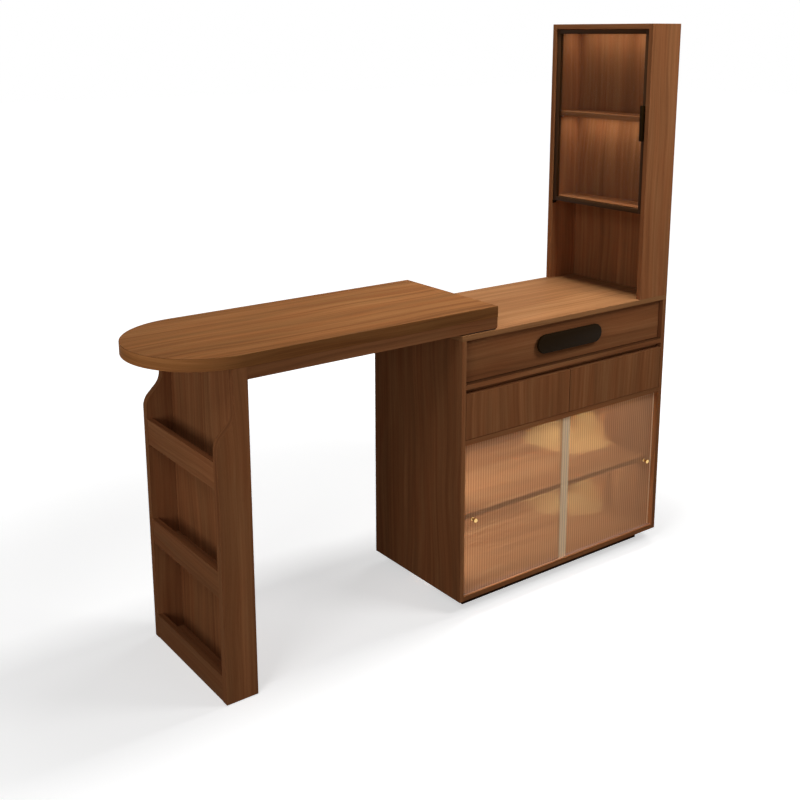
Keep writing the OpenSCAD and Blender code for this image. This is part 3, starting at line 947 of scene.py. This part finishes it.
@dataclass
class GapBoard(Board):
    """A board that is seen in a gap, with a painted shadow strip along its top, where the gap's
    shade falls.
    """

    strip: float = 1.4 * MM
    painted_shadow_share: float = 0.45
    fade: float = 0.3 * MM

    def shadow_strip_foot(self) -> float:
        """Height at which the painted shadow strip begins."""
        return self.high.z - self.strip

    def shape_cuts(self, shape: bmesh.types.BMesh) -> None:
        """Cuts the faces where the painted shadow strip begins, with a short run between the two
        tones.

        Args:
            shape: the board's shape.
        """
        for height in (self.shadow_strip_foot(), self.shadow_strip_foot() + self.fade):
            everything = [*shape.verts, *shape.edges, *shape.faces]
            bmesh.ops.bisect_plane(
                shape, geom=everything, plane_co=(0.0, 0.0, height), plane_no=(0.0, 0.0, 1.0)
            )

    def shade_at(self, place: Vector) -> float:
        """Share of the board's tone at a point, less from the painted shadow strip's foot upwards.
        """
        return self.painted_shadow_share if place.z > self.shadow_strip_foot() + self.fade * 2 / 3 else 1.0


@dataclass
class GradedBoard(Board):
    """A board whose tone changes evenly from its foot to its head: painted light and painted shade
    by height.
    """

    foot_light_share: float = 1.0
    head_light_share: float = 1.0

    def shade_at(self, place: Vector) -> float:
        """Share of the board's tone at a point, by its height on the board: painted light or
        painted shade.
        """
        way = (place.z - self.low.z) / (self.high.z - self.low.z)
        return self.foot_light_share + (self.head_light_share - self.foot_light_share) * way


@dataclass
class MeetingFront(Board):
    """A drawer front, with the gap's shade on the side that meets another front.

    meeting_side is 1 where that is the right side, -1 where it is the left one, else 0.
    """

    meeting_side: int = 0
    gap_share: float = 0.25

    def shade_at(self, place: Vector) -> float:
        """Share of the board's tone at a point, less on the side that meets the other front."""
        side = {1: self.high.x, -1: self.low.x}.get(self.meeting_side, math.inf)
        return self.gap_share if abs(place.x - side) < self.edge * EDGE_REACH else 1.0


@dataclass
class Assembly:
    """A sub-assembly that moves as one body."""

    body: Body
    first_sheet: int
    boards: tuple[Board, ...] = ()
    kept: Kept = ()

    def build(self) -> None:
        """Builds the boards, then dresses the nodes that stay as they are."""
        for number, board in enumerate(self.boards):
            board.build(self.body, self.first_sheet + number)
        for node, finish in self.kept:
            dress(node, finish)


@dataclass
class Fitting:
    """A metal or plastic fitting: the CAD shape with softened, smoothly shaded edges."""

    node: str
    finish: Finish
    edge: float = 0.0
    steps: int = 2
    shortest_edge: float = 1.0 * MM
    smooth_angle: float = 35.0

    def build(self, body: Body) -> None:
        """Makes the fitting.

        Args:
            body: the body that it moves with.
        """
        shape = cad_copy(self.node)
        if self.edge:
            soften(shape, self.edge, self.steps, self.shortest_edge)
        shade_by_angle(shape, self.smooth_angle)
        name = self.node + "_finished"
        make_piece(mesh_of(shape, name), name, body, self.finish, (self.node,))


class GeometryTree(Tree):
    """A Geometry Nodes tree with named inputs, run once and kept as a plain mesh."""

    def __init__(self, name: str, **inputs: tuple[str, ...]) -> None:
        """Makes the tree and its inputs, with one for the material.

        Args:
            name: the tree's name.
            **inputs: names of the inputs of each socket type.
        """
        super().__init__(bpy.data.node_groups.new(name, "GeometryNodeTree"))
        face = self.nodes.interface
        kinds = {"NodeSocket" + kind: labels for kind, labels in inputs.items()}
        kinds["NodeSocketMaterial"] = ("Material",)
        self.keys = {
            label: face.new_socket(label, in_out="INPUT", socket_type=kind).identifier
            for kind, labels in kinds.items()
            for label in labels
        }
        face.new_socket("Geometry", in_out="OUTPUT", socket_type="NodeSocketGeometry")
        self.given = self.node("NodeGroupInput")

    def value(self, label: str) -> Signal:
        """The named input's value."""
        return Signal(self, self.given.outputs[label])

    def close(self, geometry: Signal) -> None:
        """Ends the tree with Realize Instances and Set Material.

        Args:
            geometry: what the tree has made.
        """
        real = self.signal("GeometryNodeRealizeInstances", None, {0: geometry})
        set_to = {"Geometry": real, "Material": self.value("Material")}
        done = self.signal("GeometryNodeSetMaterial", None, set_to)
        self.node("NodeGroupOutput", None, {0: done})

    def run(self, values: dict[str, Any]) -> bpy.types.Mesh:
        """Runs the tree.

        Args:
            values: a value for each named input.

        Returns:
            The result as a plain mesh.
        """
        carrier = add_object("carrier", bpy.data.meshes.new("carrier"))
        modifier = carrier.modifiers.new("made_by_rule", "NODES")
        modifier.node_group = self.nodes
        for label, value in values.items():
            modifier[self.keys[label]] = value
        carrier.update_tag()
        state = bpy.context.evaluated_depsgraph_get()
        mesh = bpy.data.meshes.new_from_object(carrier.evaluated_get(state))
        carrier.modifiers.remove(modifier)
        bpy.data.objects.remove(carrier)
        return mesh


def reeded_pane_tree() -> GeometryTree:
    """A glass pane with a flat face towards -y and round upright ribs towards +y.

    Returns:
        The tree that makes it.
    """
    tree = GeometryTree(
        "reeded_pane",
        Vector=("Centre",),
        Float=("Width", "Thickness", "Height", "Rib Depth", "Light Band Width"),
        Int=("Ribs", "Steps"),
    )
    width, thickness, height = (tree.value(name) for name in ("Width", "Thickness", "Height"))
    block = {
        "Size": tree.vector(width, thickness, height),
        "Vertices X": tree.value("Ribs") * tree.value("Steps") + 1,
        "Vertices Y": 2,
        "Vertices Z": 2,
    }
    marked = tree.signal("GeometryNodeMeshCube", None, block)
    x, y, _ = tree.split(tree.signal("GeometryNodeInputPosition"))
    turn = (x / width + 0.5) * tree.value("Ribs") * math.pi
    crown = turn.maths("ABSOLUTE", turn.maths("SINE", turn))
    sink = (crown - 1.0) * tree.value("Rib Depth") * y.above(0.0)
    shift = tree.vector_maths("ADD", {0: tree.vector(y=sink), 1: tree.value("Centre")})
    # The pale band along one end of the pane, where the painted light goes.
    in_band = (x + tree.value("Light Band Width")).above(width / 2)
    for name, value in ((CROWN, crown), (LIGHT_BAND, in_band), (FRONT, 1.0 - y.above(0.0))):
        marked = tree.signal(
            "GeometryNodeStoreNamedAttribute",
            {"data_type": "FLOAT", "domain": "POINT"},
            {"Geometry": marked, "Name": name, "Value": value},
        )
    moved = {"Geometry": marked, "Offset": shift}
    tree.close(tree.signal("GeometryNodeSetPosition", None, moved))
    return tree


@dataclass
class Fixings:
    """Screw heads that hold the runners and the bracket."""

    head_radius: float = 3.5 * MM
    head_height: float = 1.8 * MM
    head_sides: int = 20
    top_share: float = 0.72
    slot_shares: Size = (1.15, 0.26)
    slot_raise: float = 1.45
    end_gap: float = 30 * MM
    tree: Optional[GeometryTree] = None

    def make_tree(self) -> GeometryTree:
        """A row of pan-head screw heads with a cross recess, standing on a surface.

        Returns:
            The tree that makes it.
        """
        tree = GeometryTree(
            "screw_row",
            Int=("Count",),
            Vector=("Start", "Step", "Facing"),
            Float=("Head Radius", "Head Height"),
        )
        radius, height = tree.value("Head Radius"), tree.value("Head Height")
        cone = {
            "Vertices": self.head_sides,
            "Side Segments": 1,
            "Radius Top": radius * self.top_share,
            "Radius Bottom": radius,
            "Depth": height,
        }
        head = tree.signal("GeometryNodeMeshCone", {"fill_type": "NGON"}, cone, "Mesh")
        for length, width in (self.slot_shares, self.slot_shares[::-1]):
            size = tree.vector(radius * length, radius * width, height)
            bar = tree.signal("GeometryNodeMeshCube", None, {"Size": size})
            raised = {"Geometry": bar, "Translation": tree.vector(z=height * self.slot_raise)}
            slot = tree.signal("GeometryNodeTransform", None, raised)
            cut = {"Mesh 1": head, "Mesh 2": slot}
            head = tree.signal(
                "GeometryNodeMeshBoolean", {"operation": "DIFFERENCE"}, cut, "Mesh"
            )
        line = {
            "Count": tree.value("Count"),
            "Start Location": tree.value("Start"),
            "Offset": tree.value("Step"),
        }
        row = tree.signal("GeometryNodeMeshLine", {"mode": "OFFSET"}, line)
        facing = {"Vector": tree.value("Facing")}
        turned = tree.signal("FunctionNodeAlignRotationToVector", {"axis": "Z"}, facing)
        placed = {"Points": row, "Instance": head, "Rotation": turned}
        tree.close(tree.signal("GeometryNodeInstanceOnPoints", None, placed))
        return tree

    def row(
        self,
        name: str,
        body: Body,
        finish: Finish,
        start: Vector,
        end: Vector,
        facing: Point,
        count: int = 4,
        scale: float = 1.0,
    ) -> None:
        """Makes one row of screw heads.

        Args:
            name: the row's name.
            body: the body that it moves with.
            finish: its finish.
            start: foot of the first screw head, on the surface.
            end: foot of the last one.
            facing: the way that the heads point.
            count: number of screws.
            scale: size of the heads, 1 for the runners' screws.
        """
        if self.tree is None:
            self.tree = self.make_tree()
        mesh = self.tree.run(
            {
                "Count": count,
                "Start": start,
                "Step": (end - start) / (count - 1),
                "Facing": Vector(facing),
                "Head Radius": self.head_radius * scale,
                "Head Height": self.head_height * scale,
                "Material": finish.material(),
            }
        )
        make_piece(mesh, name, body, finish)


FIXINGS = Fixings()


@dataclass
class Carcass(Assembly):
    """The cabinet's fixed boards, shelf, sliding door tracks and runner channels."""

    body: Body = Body.CABINET
    first_sheet: int = 1
    boards: tuple[Board, ...] = (
        # Painted shade: the plinth boards darkened for the shadow in the recess under the cabinet.
        Board("plinth_rails", Grain.ALONG_X, tone=0.15),
        Board("plinth_ends", Grain.ALONG_Y, tone=0.15),
        Board("bottom_panel", Grain.ALONG_X),
        Board("left_side_panel", Grain.ALONG_Z),
        Board("right_side_panel", Grain.ALONG_Z),
        Board("worktop", Grain.ALONG_X, finish=WALNUT_WORKTOP, tone=1.2, edge=0.8 * MM),
        Board("cabinet_back_panel", Grain.ALONG_X, finish=WALNUT_INSIDE),
        # Painted shadow along the deck's top edge, under the wide drawer's front.
        GapBoard("drawer_deck", Grain.ALONG_X),
        Board("centre_divider", Grain.ALONG_Z),
        # Painted light: the finger rail lightened where its recess leaves it in shade.
        Board("finger_rail", Grain.ALONG_X, tone=1.2),
        Board("door_head_panel", Grain.ALONG_X),
        # Painted light: the shelf lightened, as only the front lamps reach its edge.
        Board("inner_shelf", Grain.ALONG_X, tone=1.5),
    )
    kept: Kept = (
        ("shelf_pins", STEEL),
        ("upper_track", BROWN_PLASTIC),
        ("lower_track", PALE_PLASTIC),
        ("drawer_channels", STEEL),
    )


@dataclass
class Tower(Assembly):
    """The glazed tower that stands on the worktop's right end."""

    body: Body = Body.CABINET
    first_sheet: int = 20
    boards: tuple[Board, ...] = (
        # Painted light: the tower's sides lighter towards their feet, the rear side and the top
        # lighter overall.
        GradedBoard("tower_front_side", Grain.ALONG_Z, foot_light_share=1.2),
        GradedBoard("tower_rear_side", Grain.ALONG_Z, tone=1.12, foot_light_share=1.15),
        Board("tower_top", Grain.ALONG_Y, tone=1.2),
        Board("tower_back_panel", Grain.ALONG_Z),
        Board("tower_lower_shelf", Grain.ALONG_Y),
        Board("tower_mid_shelf", Grain.ALONG_Y),
    )
    kept: Kept = (
        ("tower_shelf_pins", STEEL),
        ("tower_screws", STEEL),
        ("door_pivots", BLACK_METAL),
    )
    bracket_t: float = 3 * MM
    bracket_screw_gap: float = 9 * MM
    bracket_screw_scale: float = 0.55

    def build(self) -> None:
        """Builds the boards, then the screws of the lower pivot's bracket."""
        super().build()
        low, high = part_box("door_pivots")
        face_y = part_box("tower_rear_side")[0].y - self.bracket_t
        middle = Vector(((low.x + high.x) / 2, face_y, low.z + self.bracket_screw_gap / 2))
        half = Vector((self.bracket_screw_gap / 2, 0, 0))
        place = (middle - half, middle + half, (0, -1, 0), 2, self.bracket_screw_scale)
        FIXINGS.row("bracket_screws", self.body, BLACK_METAL, *place)


@dataclass
class Drawer(Assembly):
    """A drawer: its front, its box with bottom, and the slides on its two sides."""

    side: str = "top"
    front_grain: Grain = Grain.ALONG_Z
    meeting_side: int = 0
    slide_web: float = 1.2 * MM

    def __post_init__(self) -> None:
        """Names the drawer's boards and slides after its place."""
        box, bottom = f"{self.side}_drawer_box", f"{self.side}_drawer_bottom"
        front = MeetingFront(f"{self.side}_drawer_front", self.front_grain)
        front.meeting_side = self.meeting_side
        inside = [Board(node, Grain.ALONG_Y, finish=WALNUT_INSIDE) for node in (box, bottom)]
        self.boards = (front, *inside)
        self.kept = ((f"{self.side}_drawer_slides", STEEL),)

    def build(self) -> None:
        """Builds the boards, then the screws that hold the slides to the box."""
        super().build()
        low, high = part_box(f"{self.side}_drawer_box")
        slide_low, slide_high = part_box(f"{self.side}_drawer_slides")
        height = (slide_low.z + slide_high.z) / 2
        sides = (("left", low.x - self.slide_web, -1), ("right", high.x + self.slide_web, 1))
        for label, x, facing in sides:
            first = Vector((x, slide_low.y + FIXINGS.end_gap, height))
            last = Vector((x, slide_high.y - FIXINGS.end_gap, height))
            name = f"{self.side}_drawer_{label}_slide_screws"
            FIXINGS.row(name, self.body, STEEL, first, last, (facing, 0, 0))


@dataclass
class WideDrawer(Drawer):
    """The wide top drawer with its long black pull."""

    body: Body = Body.TOP_DRAWER
    first_sheet: int = 40
    front_grain: Grain = Grain.ALONG_X

    def build(self) -> None:
        """Builds the drawer, then its pull."""
        super().build()
        Fitting("pull_base", BLACK_METAL).build(self.body)
        Fitting("pull_plate", BLACK_METAL, edge=0.4 * MM, smooth_angle=25).build(self.body)


@dataclass
class GlassDoor:
    """A sliding door of reeded glass with a turned brass knob."""

    side: str
    body: Body
    light_band_width: float
    rib_pitch: float = 11.2 * MM
    rib_depth: float = 1.2 * MM
    rib_steps: int = 10

    def build(self, tree: GeometryTree) -> None:
        """Makes the pane and its knob.

        Args:
            tree: the tree that makes a reeded pane.
        """
        node = f"{self.side}_glass_door"
        low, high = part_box(node)
        size = high - low
        mesh = tree.run(
            {
                "Centre": (low + high) / 2,
                "Width": size.x,
                "Thickness": size.y,
                "Height": size.z,
                "Rib Depth": self.rib_depth,
                "Ribs": round(size.x / self.rib_pitch),
                "Steps": self.rib_steps,
                "Light Band Width": self.light_band_width,
                "Material": REEDED_GLASS.material(),
            }
        )
        make_piece(mesh, f"{self.side}_reeded_pane", self.body, REEDED_GLASS, (node,))
        Fitting(f"{self.side}_door_knob", BRASS, smooth_angle=30).build(self.body)


@dataclass
class TowerDoor:
    """The tower's hinged door: a slim bronze frame, a clear pane and a black channel handle."""

    body: Body = Body.TOWER_DOOR
    frame_edge: float = 0.6 * MM
    shortest_edge: float = 8 * MM
    handle_edge: float = 0.5 * MM
    bars: tuple[str, ...] = (
        "door_hinge_stile",
        "door_handle_stile",
        "door_top_rail",
        "door_bottom_rail",
    )

    def build(self) -> None:
        """Makes the frame and the handle, and dresses the pane."""
        for node in self.bars:
            bar = Fitting(node, BRONZE_METAL, self.frame_edge, shortest_edge=self.shortest_edge)
            bar.build(self.body)
        Fitting("tower_door_handle", BLACK_METAL, self.handle_edge).build(self.body)
        dress("tower_door_glass", DOOR_GLASS)


@dataclass
class BarTable(Assembly):
    """The sliding bar table and its magazine rack."""

    body: Body = Body.BAR_TABLE
    first_sheet: int = 60
    boards: tuple[Board, ...] = (
        RoundEndBoard("table_top", Grain.ALONG_X, WALNUT_TABLE, 0.94, 1.2 * MM, steps=3),
        # Painted shade: the front apron darkened.
        Board("front_apron", Grain.ALONG_X, tone=0.88),
        Board("rear_apron", Grain.ALONG_X),
        Board("end_apron", Grain.ALONG_Y),
        Board("rack_front_side", Grain.ALONG_Z, edge=0.8 * MM),
        Board("rack_rear_side", Grain.ALONG_Z, edge=0.8 * MM),
        # Painted light: the rack's back panel lightened where the lamps from the left fall short.
        Board("rack_back_panel", Grain.ALONG_Z, tone=1.25),
        Board("rack_floors", Grain.ALONG_Y, tone=1.1),
        # Painted light and shade: the lips darker at the foot and lighter at the head.
        GradedBoard("rack_lips", Grain.ALONG_Y, tone=1.05, foot_light_share=0.78, head_light_share=1.2),
    )
    kept: Kept = (("worktop_glides", NYLON), ("floor_glides", NYLON))


@dataclass
class Lamp:
    """A soft rectangular lamp, which shines straight down where it has no aim."""

    name: str
    place: Point
    size: Size
    power: float
    aim: Optional[Point] = None
    colour: Colour = WHITE
    spread: float = 180.0

    def build(self) -> None:
        """Makes the lamp. The camera doesn't see it."""
        light = bpy.data.lights.new(self.name, "AREA")
        light.shape = "RECTANGLE"
        light.size, light.size_y = self.size
        light.energy = self.power
        light.color = self.colour
        light.spread = math.radians(self.spread)
        lamp = add_object(self.name, light)
        lamp.location = self.place
        way = Vector(self.aim or (*self.place[:2], 0.0)) - Vector(self.place)
        lamp.rotation_euler = way.to_track_quat("-Z", "Y").to_euler()
        lamp.visible_camera = False
        lamp.visible_transmission = False
        lamp.visible_glossy = False


@dataclass
class InsideLight:
    """The lamps under the boards of the glazed parts, which give the glow behind the glass."""

    bay_colour: Colour = (0.92, 0.98, 1.0)
    bay_depth: float = 0.30
    bay_end_gap: float = 20 * MM
    bay_drop: float = 4 * MM
    side_gap: float = 15 * MM
    side_height: float = 0.14
    side_share: float = 0.6
    corner_colour: Colour = (0.62, 1.0, 0.90)
    corner_gaps: Size = (105 * MM, 115 * MM)
    corner_drop: float = 8 * MM
    corner_size: Size = (0.03, 0.03)
    corner_spread: float = 72.0
    tower_colour: Colour = (1.0, 0.95, 0.86)
    tower_size: Size = (0.06, 0.40)
    tower_drop: float = 3 * MM
    tower_power: float = 0.35

    def bay_lamps(self) -> list[Lamp]:
        """The lamps behind the sliding doors, over and under the shelf.

        Returns:
            A lamp above and one at the left in each bay, then one in each rear right corner.
        """
        low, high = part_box("inner_shelf")
        middle = (low + high) / 2
        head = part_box("door_head_panel")[0].z
        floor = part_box("bottom_panel")[1].z
        size = (high.x - low.x - 2 * self.bay_end_gap, self.bay_depth)
        side_size = (self.side_height, self.bay_depth)
        colour = self.bay_colour
        lamps = []
        bays = (("upper_bay", high.z, head, 2.5), ("lower_bay", floor, low.z, 3.4))
        for name, foot, top, power in bays:
            place = (middle.x, middle.y, top - self.bay_drop)
            lamps.append(Lamp(name, place, size, power, colour=colour))
            side = (low.x + self.side_gap, middle.y, (foot + top) / 2)
            across = (high.x, *side[1:])
            weaker = power * self.side_share
            lamps.append(Lamp(name + "_left", side, side_size, weaker, across, colour))
        x, y = (edge - gap for edge, gap in zip(high, self.corner_gaps))
        look = (None, self.corner_colour, self.corner_spread)
        for name, top, power in (("upper_corner", head, 2.0), ("lower_corner", low.z, 1.0)):
            place = (x, y, top - self.corner_drop)
            lamps.append(Lamp(name, place, self.corner_size, power, *look))
        return lamps

    def tower_lamps(self) -> list[Lamp]:
        """The lamps behind the tower's door.

        Returns:
            One lamp under the tower's top and one under its middle shelf.
        """
        low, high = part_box("tower_lower_shelf")
        x, y, _ = (low + high) / 2
        look = (self.tower_size, self.tower_power, None, self.tower_colour)
        return [
            Lamp(name, (x, y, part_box(node)[0].z - self.tower_drop), *look)
            for name, node in (("tower_upper", "tower_top"), ("tower_lower", "tower_mid_shelf"))
        ]


@dataclass
class Studio:
    """Camera, lamps, floor and backdrop."""

    camera_place: Point = (-2.2073, -2.9218, 1.9643)
    turn: float = 36.85
    tilt: float = 12.99
    lens: float = 49.64
    sensor: float = 36.0
    shift: Size = (-0.0091, -0.1396)
    view_depth: float = 200.0
    fill: float = 0.08
    floor_size: float = 60.0
    floor_paint: Colour = (0.8, 0.8, 0.8)
    floor_bounce: Colour = (0.20, 0.18, 0.16)
    glow_reach: Size = (1.2, 3.0)
    glow_share: Size = (0.55, 1.0)
    lamps: tuple[Lamp, ...] = (
        Lamp("overhead", (0.74, -0.1, 3.4), (0.5, 0.5), 46.0),
        Lamp("high_left", (-2.5, -1.2, 3.2), (1.0, 1.0), 14.0, (0.0, 0.0, 1.2)),
        Lamp("right_front", (1.2, -1.6, 2.6), (0.9, 0.9), 21.5, (0.6, 0.0, 1.2)),
        Lamp("low_front", (0.9, -4.2, 1.1), (1.4, 1.4), 7.0, (0.5, -0.25, 0.7)),
        Lamp("low_left", (-3.0, -1.6, 1.2), (1.2, 1.2), 17.5, (-0.5, 0.0, 0.6)),
        Lamp("back", (2.8, 1.2, 3.2), (1.6, 1.6), 20.0, (0.6, 0.0, 1.2)),
    )

    def build(self) -> None:
        """Builds everything that isn't part of the object."""
        self.build_camera()
        self.build_floor()
        self.build_world()
        inside = InsideLight()
        for lamp in (*self.lamps, *inside.bay_lamps(), *inside.tower_lamps()):
            lamp.build()

    def build_camera(self) -> None:
        """Makes the camera at the photograph's angle."""
        data = bpy.data.cameras.new("camera")
        data.lens = self.lens
        data.sensor_width = self.sensor
        data.shift_x, data.shift_y = self.shift
        data.clip_end = self.view_depth
        camera = add_object("camera", data)
        camera.location = self.camera_place
        camera.rotation_euler = (math.radians(90 - self.tilt), 0.0, math.radians(-self.turn))
        bpy.context.scene.camera = camera

    @staticmethod
    def seen_directly(tree: Tree) -> Signal:
        """1 for camera, glossy and transmission rays, else 0."""
        return tree.ray_is("Is Camera Ray", "Is Glossy Ray", "Is Transmission Ray")

    def build_floor(self) -> None:
        """Makes the pale floor, white to the camera apart from the object's shadow."""
        material = bpy.data.materials.new("pale_floor")
        tree = Tree.of(material)
        place = tree.node("ShaderNodeTexCoord").outputs["Object"]
        away = tree.vector_maths("LENGTH", {0: place}, "Value")
        glow = away.ramp(*self.glow_reach, *self.glow_share)
        paint = tree.signal("ShaderNodeBsdfDiffuse", None, {0: (*self.floor_paint, 1.0)})
        light = tree.signal("ShaderNodeEmission", None, {0: (*WHITE, 1.0), 1: glow})
        shown = tree.signal("ShaderNodeAddShader", None, {0: paint, 1: light})
        dim = tree.signal("ShaderNodeBsdfDiffuse", None, {0: (*self.floor_bounce, 1.0)})
        mixed = tree.mix(self.seen_directly(tree), dim, shown)
        tree.node("ShaderNodeOutputMaterial", None, {0: mixed})
        shape = bmesh.new()
        bmesh.ops.create_grid(shape, x_segments=1, y_segments=1, size=self.floor_size / 2)
        floor = add_object("floor", mesh_of(shape, "floor"))
        floor.data.materials.append(material)

    def build_world(self) -> None:
        """Makes a white backdrop and a weak even light."""
        world = bpy.data.worlds.new("studio")
        bpy.context.scene.world = world
        tree = Tree.of(world)
        strength = self.seen_directly(tree) * (1.0 - self.fill) + self.fill
        sky = tree.signal("ShaderNodeBackground", None, {0: (*WHITE, 1.0), 1: strength})
        tree.node("ShaderNodeOutputWorld", None, {0: sky})


def main() -> None:
    """Builds the cabinet, its moving parts and the studio."""
    logging.basicConfig(level=logging.INFO, format="%(message)s")
    bpy.context.scene.view_settings.view_transform = "Standard"
    Carcass().build()
    Tower().build()
    WideDrawer().build()
    Drawer(Body.LEFT_DRAWER, 46, side="left", meeting_side=1).build()
    Drawer(Body.RIGHT_DRAWER, 50, side="right", meeting_side=-1).build()
    panes = reeded_pane_tree()
    # The pale band is painted light: on the left door the brighter overlap of the two panes, on
    # the right door a painted highlight along its edge.
    GlassDoor("left", Body.LEFT_DOOR, light_band_width=36 * MM).build(panes)
    GlassDoor("right", Body.RIGHT_DOOR, light_band_width=5 * MM).build(panes)
    TowerDoor().build()
    BarTable().build()
    Studio().build()


if __name__ == "__main__":
    main()
